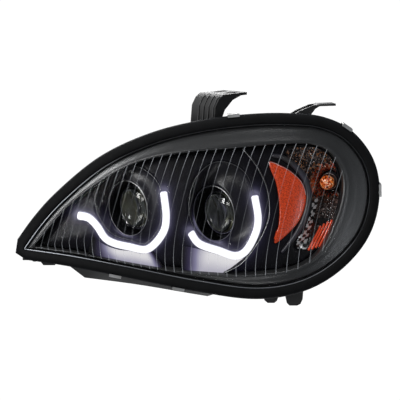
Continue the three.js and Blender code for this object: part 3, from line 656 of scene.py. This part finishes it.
def painted_glint_edge():
    """The bright lip of the beam's cut-off: plated, with a painted glint that glows in the dark bore."""
    material = plated("painted_glint_edge", 0.8, 0.2, 0.3)
    # painted glint: patchy light along the lip, as emission
    light = ramp(material, noise(material, 80), (0.3, grey(0.12)), (0.7, grey(0.5, (1, 1, 0.96))))
    return shine(material, 1.0, light)


def painted_glow_shelf():
    """Milky plastic with a painted glow of the bar above it: white where it is brightest, violet where it
    fades.
    """
    material = principled("painted_glow_shelf", 0.45, Specular_IOR_Level=0.2)
    mottle(material, 120, grey(0.002), grey(0.004))
    color = ramp(
        material, stored(material, "glow"), (0.0, (0.0, 0.0, 0.0)), (0.2, (0.025, 0.02, 0.05)),
        (0.5, (0.19, 0.18, 0.28)), (0.75, (0.45, 0.44, 0.5)), (1.0, (0.66, 0.65, 0.67)),
    )
    return shine(material, 1.1, color)


def red_ribs():
    """Red-orange prisms with a painted glow, a little emission that stands for lit plastic."""
    material = principled("red_ribs", 0.2, Specular_IOR_Level=0.6, Coat_Weight=0.4)
    mottle(material, 60, (0.45, 0.03, 0.01), (0.8, 0.09, 0.02))
    shine(material, 0.16, (1, 0.1, 0.03))
    return grain(material, 250, 0.1, 0.3)


def circuit_board():
    material = principled("solder_mask", 0.4, Specular_IOR_Level=0.5)
    mottle(material, 400, (0.004, 0.05, 0.02), (0.012, 0.11, 0.05), 6.0)
    return grain(material, 700, 0.1, 0.4)


RUBBER = rubber()
BEZEL = satin_bezel()
DECK_BLACK = gloss_black("deck_gloss", 0.004, 0.34, 0.46, 0.1)
BOWL_BLACK = gloss_black("bowl_gloss", 0.005, 0.26, 0.38, 0.26)
COLLAR_BLACK = gloss_black("collar_gloss", 0.014, 0.3, 0.42, 0.5)
HOLDER = gloss_black("holder_black", 0.006, 0.25, 0.4)
RAIL_BLACK = gloss_black("rail_gloss", 0.02, 0.3, 0.42, 0.5)
RING_CHROME = plated("ring_chrome", 0.7, 0.38, 0.46)
# Plated greys for thin beads that stand as painted highlight lines along edges
HIGHLIGHT_GREY = plated("highlight_grey", 0.45, 0.3, 0.42)
HIGHLIGHT_DIM = plated("highlight_dim", 0.2, 0.3, 0.42)
HIGHLIGHT_PALE = plated("highlight_pale", 0.9, 0.3, 0.4)
MIRROR = plated("mirror_plate", 0.8, 0.04, 0.1)
BEAM_MIRROR_PAINTED_GLOW = beam_mirror_painted_glow()
PAINTED_GLINT_EDGE = painted_glint_edge()
CAST = cast_metal()
ZINC = zinc()
CLEAR = clear_lens()
FLUTES = flute_line()
GLASS = projector_glass()
AMBER = amber_plastic()
AMBER_GLASS = amber_glass()
FACETS = faceted_chrome()
RIBS = red_ribs()
BAR_LIGHT = glowing("light_guide", 1.6)
SHELF = painted_glow_shelf()
BOARD = circuit_board()
HOUSING = light_edged_plastic("housing_plastic", grey(0.010), grey(0.020), grey(0.05), 0.5)
BRACKET = light_edged_plastic("bracket_plastic", grey(0.006), grey(0.011), grey(0.08), 0.48)
COVER = light_edged_plastic("cover_plastic", grey(0.014), grey(0.024), grey(0.06), 0.52)


# ---- Camera and light ----
ELEVATION = math.radians(10)
DISTANCE = 2.8
FRAME_WIDTH = 0.74  # what the picture spans at the lamp, in metres


def camera():
    data = bpy.data.cameras.new("camera")
    data.lens = data.sensor_width * DISTANCE / FRAME_WIDTH
    data.clip_start, data.clip_end = 0.05, 50
    made = bpy.data.objects.new("camera", data)
    bpy.context.scene.collection.objects.link(made)
    back = Vector((0, -cos(ELEVATION), sin(ELEVATION)))
    made.location = row((0, 0, 0)) + back * DISTANCE
    made.rotation_euler = (-back).to_track_quat("-Z", "Y").to_euler()
    bpy.context.scene.camera = made


def softbox(name, offset, size, power, color=(1, 1, 1)):
    """A soft rectangular light at an offset from the lamp, in metres, turned towards it."""
    middle = row((0, -30, 0))
    place = middle + Vector(offset)
    data = bpy.data.lights.new(name, "AREA")
    data.shape = "RECTANGLE"
    data.size, data.size_y = size
    data.energy = power
    data.color = color
    made = bpy.data.objects.new(name, data)
    bpy.context.scene.collection.objects.link(made)
    made.location = place
    made.rotation_euler = (middle - place).to_track_quat("-Z", "Y").to_euler()


def surroundings():
    """A white world to look at, dimmer as a light."""
    world = bpy.data.worlds.new("studio")
    bpy.context.scene.world = world
    world.use_nodes = True
    tree = world.node_tree
    seen, felt = tree.nodes["Background"], tree.nodes.new("ShaderNodeBackground")
    seen.inputs["Color"].default_value = (1, 1, 1, 1)
    seen.inputs["Strength"].default_value = 1.05
    felt.inputs["Color"].default_value = (0.9, 0.94, 1, 1)
    felt.inputs["Strength"].default_value = 0.18
    path, mix = tree.nodes.new("ShaderNodeLightPath"), tree.nodes.new("ShaderNodeMixShader")
    tree.links.new(path.outputs["Is Camera Ray"], mix.inputs[0])
    tree.links.new(felt.outputs[0], mix.inputs[1])
    tree.links.new(seen.outputs[0], mix.inputs[2])
    tree.links.new(mix.outputs[0], tree.nodes["World Output"].inputs["Surface"])


camera()
surroundings()
softbox("key", (-1.55, -0.95, 1.4), (0.6, 1.1), 34)
softbox("front", (-0.9, -1.9, 1.3), (0.7, 0.7), 9)
softbox("fill", (1.75, -1.25, 0.35), (0.14, 1.0), 5, (0.93, 0.96, 1))
softbox("top", (0.2, 0.3, 1.8), (1.6, 0.9), 12)
softbox("rear", (-0.6, 2.0, 0.9), (1.4, 1.0), 45)
softbox("low", (0.3, -1.7, -1.5), (1.6, 0.4), 7)
softbox("under", (0.4, 0.6, -2.0), (1.2, 1.2), 14)
bpy.context.scene.view_settings.view_transform = "Standard"


# ---- Lens and gasket ----
def make_lens():
    shares = [0.03, *(0.1 * k for k in range(1, 9)), 0.86, 0.91, 0.95, 0.98]
    outside = [share_ring(s) for s in shares]
    inside = [share_ring(s * 0.988, LENS_WALL, rise_share=s) for s in reversed(shares)]
    skirt = [
        rim_ring(-0.25, -0.4), rim_ring(0, 0.4), rim_ring(0, SKIRT), rim_ring(-LENS_WALL, SKIRT),
        rim_ring(-LENS_WALL, LENS_WALL - 0.5),
    ]
    vertices, faces = closed_ends(*grid([*outside, *skirt, *inside]), STATIONS)
    return piece("lens_skin", vertices, faces, CLEAR, stands_for=["outer_lens"], slot="lens")


def make_gasket():
    section = [
        (0.4, 0.6), (0.5, -0.9), (1.2, -2.7), (3, -4.1), (6, -4.8), (9, -5), (11.5, -4.8), (14, -3.9),
        (16.2, -2.2), (18, 0.6), (GASKET, 4), (18.6, 8), (17, 12), (15, 14.2), (0.4, 14.2),
    ]
    rings = [rim_ring(out, back) for out, back in section]
    piece("gasket_skin", *grid(rings, along=True), RUBBER, stands_for=["rim_gasket"], slot="gasket")


def make_edge_line():
    """The lens's cut edge: a bead with a painted glint that stands for the light it pipes along the rubber.
    """
    line = rim_ring(-0.9, -1.2)
    made = piece("lens_edge_line", *bead(line, 0.6, True), FLUTES, slot="lens")
    # painted glint: brightest at the left tip, a little brighter along the lower edge
    painted_glints = [0.02 + 0.6 * ease(-120, -300, x) + 0.1 * ease(-60, -90, z) for x, _, z in design_points(made)]
    mark(made, "painted_glint", painted_glints)


def flute_path(offset):
    """Where an upright plane, offset to its side, crosses the lens's inner face."""
    steps, samples, tries = 60, 240, 12
    bottom, top = -145, 147
    side = aside(FLUTE_YAW)
    line = []
    for i in range(samples):
        z = bottom + (top - bottom) * i / (samples - 1)
        x = offset / side.x
        for _ in range(tries):
            x = (offset - side.y * lens_y(x, z)) / side.x
        angle = atan2(z - CENTRE.z, x - CENTRE.x)
        if hypot(x - CENTRE.x, z - CENTRE.z) < opening_reach(angle) + 2:
            line.append(on_lens(x, z, LENS_WALL + 0.35))
    shortest = samples // 20
    return spaced(line, steps, False) if len(line) > shortest else []


def make_flutes():
    """Thin upright flutes inside the lens, whose planes stand evenly apart."""
    vertices, faces, painted_glints = [], [], []
    for k in range(-22, 26):
        path = flute_path(20 + FLUTE_PITCH * k)
        if not path:
            continue
        start = len(vertices)
        for i, p in enumerate(path):
            share = i / (len(path) - 1)
            # painted glint: brighter towards both ends of each flute
            painted_glint = 0.07 + 0.3 * abs(2 * share - 1) ** 2.5
            for across, deep in ((-0.34, 0), (0.34, 0), (0, 0.4)):
                vertices.append(p + Vector((across, deep, 0)))
                painted_glints.append(painted_glint)
        for i in range(len(path) - 1):
            for a, b in ((0, 1), (1, 2), (2, 0)):
                low, high = start + 3 * i, start + 3 * i + 3
                faces.append((low + a, low + b, high + b, high + a))
        faces += [(start, start + 2, start + 1), tuple(len(vertices) - 3 + n for n in (0, 1, 2))]
    mark(piece("lens_flutes", vertices, faces, FLUTES, slot="lens", smooth=False), "painted_glint", painted_glints)


make_lens()
make_gasket()
make_edge_line()
make_flutes()


# ---- Bezel and deck ----
def within(line, x, z):
    """Whether a point lies inside a closed line."""
    hit = False
    for a, b in zip(line, line[1:] + line[:1]):
        if (a.z > z) != (b.z > z) and x < a.x + (b.x - a.x) * (z - a.z) / (b.z - a.z):
            hit = not hit
    return hit


def distance(line, x, z):
    return min(hypot(p.x - x, p.z - z) for p in line)


def sheet_between(boundary, holes, spacing, margin, seed=0, jitter=0.0):
    """Triangles that fill a boundary round its holes, as points in x and z and faces."""
    chance = random.Random(seed)
    points, lines = [], []
    for line in (boundary, *holes):
        start = len(points)
        points += [(p.x, p.z) for p in line]
        lines += [(start + i, start + (i + 1) % len(line)) for i in range(len(line))]
    xs, zs = [p.x for p in boundary], [p.z for p in boundary]
    across = int((max(xs) - min(xs)) / spacing) + 1
    rows = int((max(zs) - min(zs)) / spacing) + 1
    for i in range(across):
        for k in range(rows):
            x = min(xs) + spacing * (i + 0.5 * (k % 2)) + chance.uniform(-jitter, jitter)
            z = min(zs) + spacing * k + chance.uniform(-jitter, jitter)
            clear = all(distance(line, x, z) > margin for line in (boundary, *holes))
            if clear and within(boundary, x, z) and not any(within(h, x, z) for h in holes):
                points.append((x, z))
    found = delaunay_2d_cdt([Vector(p) for p in points], lines, [], 0, 1e-5)
    points, triangles = [(p.x, p.y) for p in found[0]], []
    for face in found[2]:
        x, z = (sum(points[i][k] for i in face) / 3 for k in (0, 1))
        if within(boundary, x, z) and not any(within(h, x, z) for h in holes):
            triangles.append(tuple(face))
    return points, triangles


def deck_y(x, z):
    return lens_y(x, z) + DECK


BAR_LINES = [p for line in (HIGH_BAR, LOW_BAR) for p in spaced(catmull(line, False), 60, False)]


def add_painted_spill(made, reach=9):
    """Marks a painted spill of the bars' light on each point of a piece, fading with the distance from the
    bars.
    """
    gaps = (max(0, distance(BAR_LINES, x, z) - BAR_WIDTH / 2) for x, _, z in design_points(made))
    mark(made, "glow", [math.exp(-gap / reach) for gap in gaps])


HOLE_STEPS = 120


def make_bezel():
    """The satin band from under the rubber to the opening, its lip down to the deck, and the deck, which
    carries a painted violet spill from the bars.
    """
    outer = rim_ring(-6, 4.5)
    crown = []
    for share in (0.15, 0.3, 0.45, 0.6, 0.75, 0.9):
        ring = []
        for p, q in zip(outer, lip_ring(0, 8)):
            x, z = p.x + (q.x - p.x) * share, p.z + (q.z - p.z) * share
            ring.append(on_lens(x, z, 6.9 + 1.1 * share - 1.8 * ease(0.6, 0.9, share)))
        crown.append(ring)
    lip = [lip_ring(*at) for at in ((0.3, 8.4), (0.8, 9.6), (1.5, 12), (2.3, 16), (3.1, 20.5), (4, DECK))]
    rings = [rim_ring(-4, 6), rim_ring(-5, 4.8), outer, *crown, *lip]
    band = piece("bezel_band", *grid(rings), BEZEL, stands_for=["inner_bezel"], slot="bezel")
    thicken(band, 1.5)
    holes = [loop(line, HOLE_STEPS) for line in (HIGH_BOWL, LOW_BOWL, TURN_POCKET)]
    flat, faces = sheet_between(lip_ring(3.8, DECK), holes, 6, 3)
    vertices = [Vector((x, deck_y(x, z), z)) for x, z in flat]
    deck = piece("bezel_deck", vertices, faces, DECK_BLACK, slot="bezel")
    add_painted_spill(deck)
    thicken(deck, 1.5)


# ---- Bowls, shroud rings and projectors ----
def make_bowl(beam, outline, origin, steps=128):
    """A bowl from the deck, over a rolled lip, down to the shroud ring, with a painted violet spill from the
    bars and a dim plated bead along the lip as a painted highlight.
    """
    reach = polar(outline, origin)
    side, front, up = aside(BEAM_YAW), ahead(BEAM_YAW), Vector((0, 0, 1))

    def at_edge(pull, back):
        ring = []
        for t in turns(steps):
            angle = atan2(sin(t), cos(t) * side.x)
            r = reach(angle) - pull
            x, z = origin.x + r * cos(angle), origin.z + r * sin(angle)
            ring.append(Vector((x, deck_y(x, z) + back, z)))
        return ring

    def at_throat(radius, forward):
        return [origin + (side * cos(t) + up * sin(t)) * radius + front * forward for t in turns(steps)]

    wall = []
    start, end = at_edge(2.4, 0.6), at_throat(RING_R + 1.1, 1)
    for share in (0, 0.08, 0.18, 0.3, 0.42, 0.55, 0.68, 0.8, 0.9, 1):
        sag = Vector((0, 4 * sin(pi * share), 0))
        wall.append([p.lerp(q, share) + sag for p, q in zip(start, end)])
    lip = [at_edge(*at) for at in ((-0.3, 0.4), (0, -0.5), (0.7, -0.9), (1.6, -0.5))]
    throat = [at_throat(RING_R + 0.7, 0.2), at_throat(RING_R + 0.7, -6)]
    made = piece(f"{beam}_bowl_skin", *grid([*lip, *wall, *throat]), BOWL_BLACK,
                 stands_for=[f"{beam}_bowl"], slot="bowl")
    add_painted_spill(made, 8)
    thicken(made, 1.0)
    piece(f"{beam}_bowl_lip", *bead(at_edge(0.4, -1.0), 0.4, True), HIGHLIGHT_DIM, slot="bowl")


RING_STEPS = 128
GLASS_STEPS = 96


def make_projector(beam, place):
    """The shroud ring with its bright edge, and the glass, holder and bright lines that aim inside it: a
    bore liner with a painted olive glow, a cut-off lip with a painted glint and a plated trim.
    """
    tube = [(RING_R - 0.3, -0.6), (RING_R, -1.2), (RING_R, -28), (49.6, -28), (49.6, -1.2), (49.9, -0.6)]
    wall = lathe([*tube, tube[0]], place, RING_STEPS)
    piece(f"{beam}_ring_wall", *wall, BOWL_BLACK, stands_for=[f"{beam}_shroud_ring"], slot="ring")
    bright = lathe(loop_profile(50.8, -0.7, 0.85), place, RING_STEPS)
    piece(f"{beam}_ring_edge", *bright, RING_CHROME, slot="ring")
    dome = [(LENS_R * sin(t), -23 + 19 * cos(t)) for t in (pi / 36 * k for k in range(19))]
    glass = [*dome, (LENS_R, -25.4), (LENS_R - 0.6, -26), (0, -26)]
    piece(f"{beam}_glass", *lathe(glass, place, GLASS_STEPS), GLASS, "aim_frame",
          [f"{beam}_projector_lens"], "projector_glass")
    holder = [
        (38.5, -21.6), (39.2, -20.6), (40.8, -20.4), (42.4, -22.3), (42.8, -23.4), (42.4, -24.2),
        (41.5, -25), (41.5, -31), (44, -34), (44, -76), (40, -76), (40, -36), (35, -26.5),
        (38.5, -26.5), (38.5, -21.6),
    ]
    piece(f"{beam}_holder_skin", *lathe(holder, place, GLASS_STEPS), HOLDER, "aim_frame",
          [f"{beam}_lens_holder"], "casting")
    bore = [(39.6, -38), (39.9, -38), (39.9, -74), (39.6, -74), (39.6, -38)]
    piece(f"{beam}_bore_liner", *lathe(bore, place, GLASS_STEPS), BEAM_MIRROR_PAINTED_GLOW, "aim_frame", slot="casting")
    across = [place @ Vector((x, 8, -44)) for x in (-38, -19, 0, 19, 38)]
    piece(f"{beam}_cutoff_edge", *bead(across, 1.1, False), PAINTED_GLINT_EDGE, "aim_frame", slot="casting")
    trim = loop_profile(39.9, -20.3, 0.9)
    piece(f"{beam}_lens_trim", *lathe(trim, place, GLASS_STEPS), MIRROR, "aim_frame", slot="casting")


make_bezel()
for beam, outline, origin, place in (
    ("high_beam", HIGH_BOWL, HIGH_BEAM, HIGH_FRAME),
    ("low_beam", LOW_BOWL, LOW_BEAM, LOW_FRAME),
):
    make_bowl(beam, outline, origin)
    make_projector(beam, place)


# ---- Light bars and the shelves under them, with a painted glow ----
def squared(value):
    return math.copysign(abs(value) ** 0.5, value)


def make_light_bar(name, line, node_name):
    """A guide with a rounded face, flush ends and even width along its line."""
    steps, sides = 120, 20
    end_length, end_narrowing = 1.5, 0.35
    path = spaced(catmull(line, False), steps, False)
    reach = sum((b - a).length for a, b in zip(path, path[1:]))
    sections = []
    for i in range(steps + 1):
        from_end = min(i, steps - i) * reach / steps
        half = BAR_WIDTH / 2 * 0.96 * (1 - max(0, 1 - from_end / end_length) ** 2 * end_narrowing)
        section = []
        for t in turns(sides):
            depth = (BAR_FACE + DECK) / 2 + squared(sin(t)) * (DECK - BAR_FACE) / 2
            section.append((squared(cos(t)) * half, depth))
        sections.append(section)
    made = piece(name, *swept(path, sections), BAR_LIGHT, stands_for=[node_name], slot="light_guide")
    mark(made, "glow", [ease(BAR_FACE + 5, BAR_FACE, y - lens_y(x, z)) for x, y, z in design_points(made)])


def make_shelf(name, top, bottom, strength):
    """A shelf from under a bar down towards the lens; strength gives its painted glow along and down it."""
    across, down = 80, 14
    high, low = (spaced(catmull(line, False), across, False) for line in (top, bottom))
    front, glow = [], []
    for k in range(down + 1):
        share = k / down
        ring = []
        for i, (p, q) in enumerate(zip(high, low)):
            point = p.lerp(q, share)
            depth = DECK - 1.5 - 9 * share ** 1.3
            ring.append(on_lens(point.x, point.z, depth))
            glow.append(strength(i / across, share))
        front.append(ring)
    back = [[p + Vector((0, 1.2, 0)) for p in ring] for ring in reversed(front)]
    vertices, faces = grid([*front, *back], around=False, along=True)
    count = across + 1
    last = 2 * (down + 1) - 1
    for end in (0, across):
        for k in range(down):
            faces.append(tuple(count * n + end for n in (k, k + 1, last - k - 1, last - k)))
    made = piece(name, vertices, faces, SHELF, slot="light_guide")
    mark(made, "glow", glow + [glow[k * count + i] for k in range(down, -1, -1) for i in range(count)])


make_light_bar("inner_guide", HIGH_BAR, "light_bar_inner")
make_light_bar("outer_guide", LOW_BAR, "light_bar_outer")
make_shelf(
    "inner_shelf",
    [(-196, -56), (-176, -71), (-150, -80), (-126, -82), (-104, -86), (-84, -80)],
    [(-204, -89), (-176, -94), (-150, -98), (-122, -102), (-96, -106), (-66, -109)],
    lambda u, v: ease(0.02, 0.45, u) * (0.62 + 0.38 * ease(1.0, 0.1, v)) * ease(1.0, 0.86, u),
)
make_shelf(
    "outer_shelf",
    [(-32, -70), (-8, -74), (14, -80), (36, -86), (60, -94), (78, -92)],
    [(-34, -112), (-16, -113), (2, -114), (18, -115), (34, -116), (44, -116)],
    lambda u, v: ease(-0.02, 0.5, u) * (0.7 + 0.3 * ease(1.0, 0.1, v)),
)


# ---- Amber crescent, partition, ridge and turn signal ----
def offset_loop(line, inward):
    """A closed line moved inward by a distance."""
    count = len(line)
    middle = sum(line, Vector()) / count
    out = []
    for i, p in enumerate(line):
        along = (line[(i + 1) % count] - line[i - 1]).normalized()
        normal = Vector((along.z, 0, -along.x))
        if (p + normal - middle).length < (p - normal - middle).length:
            normal = -normal
        out.append(p - normal * inward)
    return out


def make_crescent():
    """The amber reflex crescent: a crowned face with a rolled edge, and a pale plated bead at its top as a
    painted highlight.
    """
    steps = 160
    outline = loop(CRESCENT, steps)
    hub = Vector((168, 0, 4))
    rings = [at_depth(outline, DECK - 1.5), at_depth(outline, DECK - 5)]
    for inward, depth in ((0.5, 6.2), (1.4, 7), (2.4, 7.3)):
        rings.append(at_depth(offset_loop(outline, inward), DECK - depth))
    last = offset_loop(outline, 2.4)
    for share in (0.75, 0.5, 0.25, 0.04):
        ring = [Vector((hub.x + (p.x - hub.x) * share, 0, hub.z + (p.z - hub.z) * share)) for p in last]
        rings.append(at_depth(ring, DECK - 7.3 - 2.2 * (1 - share ** 2)))
    vertices, faces = closed_ends(*grid(rings), steps)
    piece("amber_crescent", vertices, faces, AMBER, stands_for=["amber_reflector"], slot="amber_plastic")
    brow = at_depth(offset_loop(outline, 0.5), DECK - 6.3)
    top = max(range(steps), key=lambda i: brow[i].z)
    upper = [brow[(top + k) % steps] for k in range(-4, 44)]
    piece("crescent_edge", *bead(upper, 0.45, False), HIGHLIGHT_PALE, slot="amber_plastic")


def make_fin():
    """The partition between the beams and the turn signal: a thin wall with a grey plated bead along its
    edge as a painted highlight.
    """
    line = [
        (78, 99), (94, 81), (109, 59), (122, 28), (125, -14), (117, -40), (105, -61), (74, -99), (43, -116),
    ]
    section = [(-2.2, DECK), (-1.4, 17), (-0.9, 12.6), (0, 12), (0.9, 12.6), (1.4, 17), (2.2, DECK)]
    path = spaced(catmull(line, False), 110, False)
    piece("partition_fin", *swept(path, [section] * len(path)), DECK_BLACK, slot="bezel")
    piece("partition_edge", *bead(at_depth(path, 12.1), 0.5, False), HIGHLIGHT_GREY, slot="bezel")


def make_ridge():
    """The rounded black rail between the crescent and the turn signal's pocket."""
    line = [
        (132, 86), (150, 82), (174, 66), (193, 42), (199, 18), (197, -4), (187, -32), (169, -60), (148, -84),
    ]
    steps, sides = 100, 12
    half_width, height = 6.5, 9
    path = spaced(catmull(line, False), steps, False)
    half_turn = [pi * k / sides for k in range(sides + 1)]
    sections = []
    for i in range(steps + 1):
        taper = 0.35 + 0.65 * sin(pi * i / steps) ** 0.6
        sections.append([(half_width * taper * cos(t), DECK - height * taper * sin(t)) for t in half_turn])
    piece("turn_rail", *swept(path, sections), RAIL_BLACK, slot="bezel")


make_crescent()
make_fin()
make_ridge()


SOCKET_HOLE = 20
POCKET_LINE = loop(TURN_POCKET, 150)
TAIL_TOP, TAIL_BEND = 4, -30  # heights: the pocket's tail starts at the first
CHEQUER_WIDTH, CHEQUER_HEIGHT = 6.5, 6
HUB = TURN_FRAME @ Vector((0, 0, -23))  # the middle of the reflector's hole


def pocket_y(x, z):
    """Depth of the turn signal's reflector: shallow in its tail and deep round the socket."""
    to_hub = max(0, hypot(x - HUB.x, z - HUB.z) - SOCKET_HOLE)
    to_edge = distance(POCKET_LINE, x, z)
    share = to_edge / (to_edge + to_hub + 0.001)
    shallow = deck_y(x, z) + min(9, 0.7 * to_edge)
    return shallow + (HUB.y - shallow) * share ** 1.5


def facet_tone(x, z, chance):
    """How a facet looks: 0 is black, 0.7 a painted chrome glint and 1 a painted amber glint, crowded near
    the bulb and at the outer side. The tail's inner half is chequered with painted chrome glints.
    """
    near = hypot(x - TURN_BULB.x, z - TURN_BULB.z)
    middle = 207 + (z - TAIL_BEND) * 0.3
    if z < TAIL_TOP:
        if x < middle:
            bright = (floor((x - middle) / CHEQUER_WIDTH) + floor(z / CHEQUER_HEIGHT)) % 2
            return 0.7 if bright else 0.0
        return chance.choice((0.05, 0.12, 0.25, 0.4)) if z > TAIL_BEND else 0.02
    if near < 34 or x > 244:
        return chance.choice((0.0, 0.05, 0.1, 0.3, 0.5, 0.95, 0.97, 0.93, 0.84))
    return chance.choice((0.0, 0.0, 0.03, 0.08, 0.12, 0.2, 0.3, 0.5, 0.86))


def make_turn_reflector():
    """Many small metallised facets, each with its own tilt and tone; some tones are painted glints."""
    chance = random.Random(7)
    spacing, margin, jitter, tilt = 2.7, 1.4, 0.4, 0.9
    hole = [HUB + Vector((SOCKET_HOLE * cos(t), 0, SOCKET_HOLE * sin(t))) for t in turns(48)]
    boundary = offset_loop(POCKET_LINE, 0.8)
    flat, faces = sheet_between(boundary, [hole], spacing, margin, seed=3, jitter=jitter)
    vertices = []
    for x, z in flat:
        clear = min(distance(POCKET_LINE, x, z), hypot(x - HUB.x, z - HUB.z) - SOCKET_HOLE)
        shake = chance.uniform(-tilt, tilt) if clear > margin else 0
        vertices.append(Vector((x, pocket_y(x, z) + shake, z)))
    made = piece("turn_facets", vertices, faces, FACETS, stands_for=["turn_signal_reflector"],
                 slot="reflector", smooth=False)
    middles = [face.center * 1000 - OFFSET for face in made.data.polygons]
    mark(made, "facet", [facet_tone(p.x, p.z, chance) for p in middles], "FACE")
    thicken(made, 0.8)


def make_ribs():
    """Red ribs that run down the outer half of the pocket's tail."""
    pitch, steps, proud = 6.9, 24, 2.4
    for k in range(4):
        path = []
        for i in range(steps + 1):
            share = i / steps
            x, z = 242 - 24 * share ** 1.15 - pitch * k, -32 - 4 * k - (46 - 2.5 * k) * share
            path.append(Vector((x, pocket_y(x, z) - proud, z)))
        piece(f"turn_rib_{k + 1}", *bead(path, 2.0, False), RIBS, slot="amber_plastic")


def make_socket_collar():
    """The socket's dark ring with fine steps, which the bulb stands in, with a grey plated bead at its front
    as a painted highlight.
    """
    profile = [
        (16.6, -24), (16.6, -13), (16, -12), (14.8, -12), (14.2, -13), (13.7, -15), (13.1, -15.6),
        (12.5, -15.6), (12, -17), (11.3, -17.4), (10.8, -19), (10.8, -25), (16.6, -25), (16.6, -24),
    ]
    piece("socket_collar", *lathe(profile, TURN_FRAME), COLLAR_BLACK, "turn_signal_socket", slot="cover")
    rim = loop_profile(15.4, -11.8, 0.45)
    piece("socket_collar_rim", *lathe(rim, TURN_FRAME), HIGHLIGHT_GREY, "turn_signal_socket", slot="cover")


def make_turn_bulb():
    """The amber bulb: a glass envelope of small uneven facets."""
    rings, sides = [], 26
    chance = random.Random(11)
    profile = [
        (0.2, 16), (3, 15.8), (5.6, 15), (7.9, 13.7), (9.8, 11.8), (11.4, 9.2), (12.5, 6), (13, 2.4),
        (13, -1.4), (12.4, -5.2), (11.2, -9), (9.6, -12.4), (8, -15.6), (7, -21),
    ]
    for k, (radius, forward) in enumerate(profile):
        ring = []
        for i in range(sides):
            t = 2 * pi * (i + 0.5 * (k % 2)) / sides
            r = radius * (1 + chance.uniform(-0.05, 0.05))
            ring.append(TURN_FRAME @ Vector((r * cos(t), r * sin(t), forward)))
        rings.append(ring)
    vertices, faces = closed_ends(*grid(rings), sides)
    made = piece("turn_bulb_glass", vertices, faces, AMBER_GLASS, "turn_signal_socket",
                 ["turn_signal_bulb"], "amber_glass", smooth=False)
    tones = (0.0, 0.1, 0.3, 0.45, 0.6, 0.75, 0.85, 1.0)
    mark(made, "facet", [chance.choice(tones) for _ in made.data.polygons], "FACE")


make_turn_reflector()
make_ribs()
make_socket_collar()
make_turn_bulb()


# ---- The pieces that keep their shape: soft edges and materials; the beam reflectors carry a painted olive glow ----
def refine(name, material, width):
    """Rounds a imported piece's edges and gives it its material."""
    made = frame["nodes"][name]
    mesh = made.data
    if "custom_normal" in mesh.attributes:
        mesh.attributes.remove(mesh.attributes["custom_normal"])
    mesh.materials.clear()
    mesh.materials.append(material)
    for face in mesh.polygons:
        face.use_smooth = True
    made.modifiers.new("weld", "WELD").merge_threshold = 1e-5
    bevel(made, width)


# Words in the names of pieces, with the material and the edge radius; the first match counts.
FINISHES = [
    (("_bolt", "lens_clip", "stud", "aim_gimbal"), ZINC, 0.4),
    (("led_board",), BOARD, 0.2),
    (("_bracket",), BRACKET, 0.8),
    (("_seal", "vent_cap"), RUBBER, 0.4),
    (("_cover", "turn_signal_socket", "led_driver"), COVER, 0.8),
    (("_aim_screw", "bulb_base"), COVER, 0.5),
    (("beam_reflector",), BEAM_MIRROR_PAINTED_GLOW, 0.2),
    (("shutter",), ZINC, 0.2),
    (("beam_bulb",), GLASS, 0.1),
    (("aim_frame",), CAST, 0.8),
    (("housing_shell",), HOUSING, 0.9),
]
for name in frame["nodes"]:
    for words, material, width in FINISHES:
        if any(word in name for word in words):
            refine(name, material, width)
            break


# ---- Ribs on the main bracket's front face ----
MAIN_FRAME = unit(Vector((12, 46, 136.5)), BEAM_YAW)
BRACKET_RIB = [
    (-14, 5), (-10.2, 33.5), (-0.4, 48.6), (8, 53.6), (8, 51.5), (2.8, 47.5), (-7.4, 33.8), (-11.2, 5),
]


def make_bracket_rib(name, x, width):
    """A rib that follows the bracket's bent front face; the outline is distance back and height."""
    count = len(BRACKET_RIB)
    edges = (x - width / 2, x + width / 2)
    sides = [[MAIN_FRAME @ Vector((at, up, -back)) for back, up in BRACKET_RIB] for at in edges]
    vertices, faces = grid(sides)
    faces += [tuple(range(count)), tuple(range(count, 2 * count))]
    bevel(piece(name, vertices, faces, BRACKET, slot="bracket", smooth=False), 0.5)


for number, x in enumerate((-10, 2, 14, 26)):
    make_bracket_rib(f"main_bracket_rib_{number + 1}", x, 2.2)
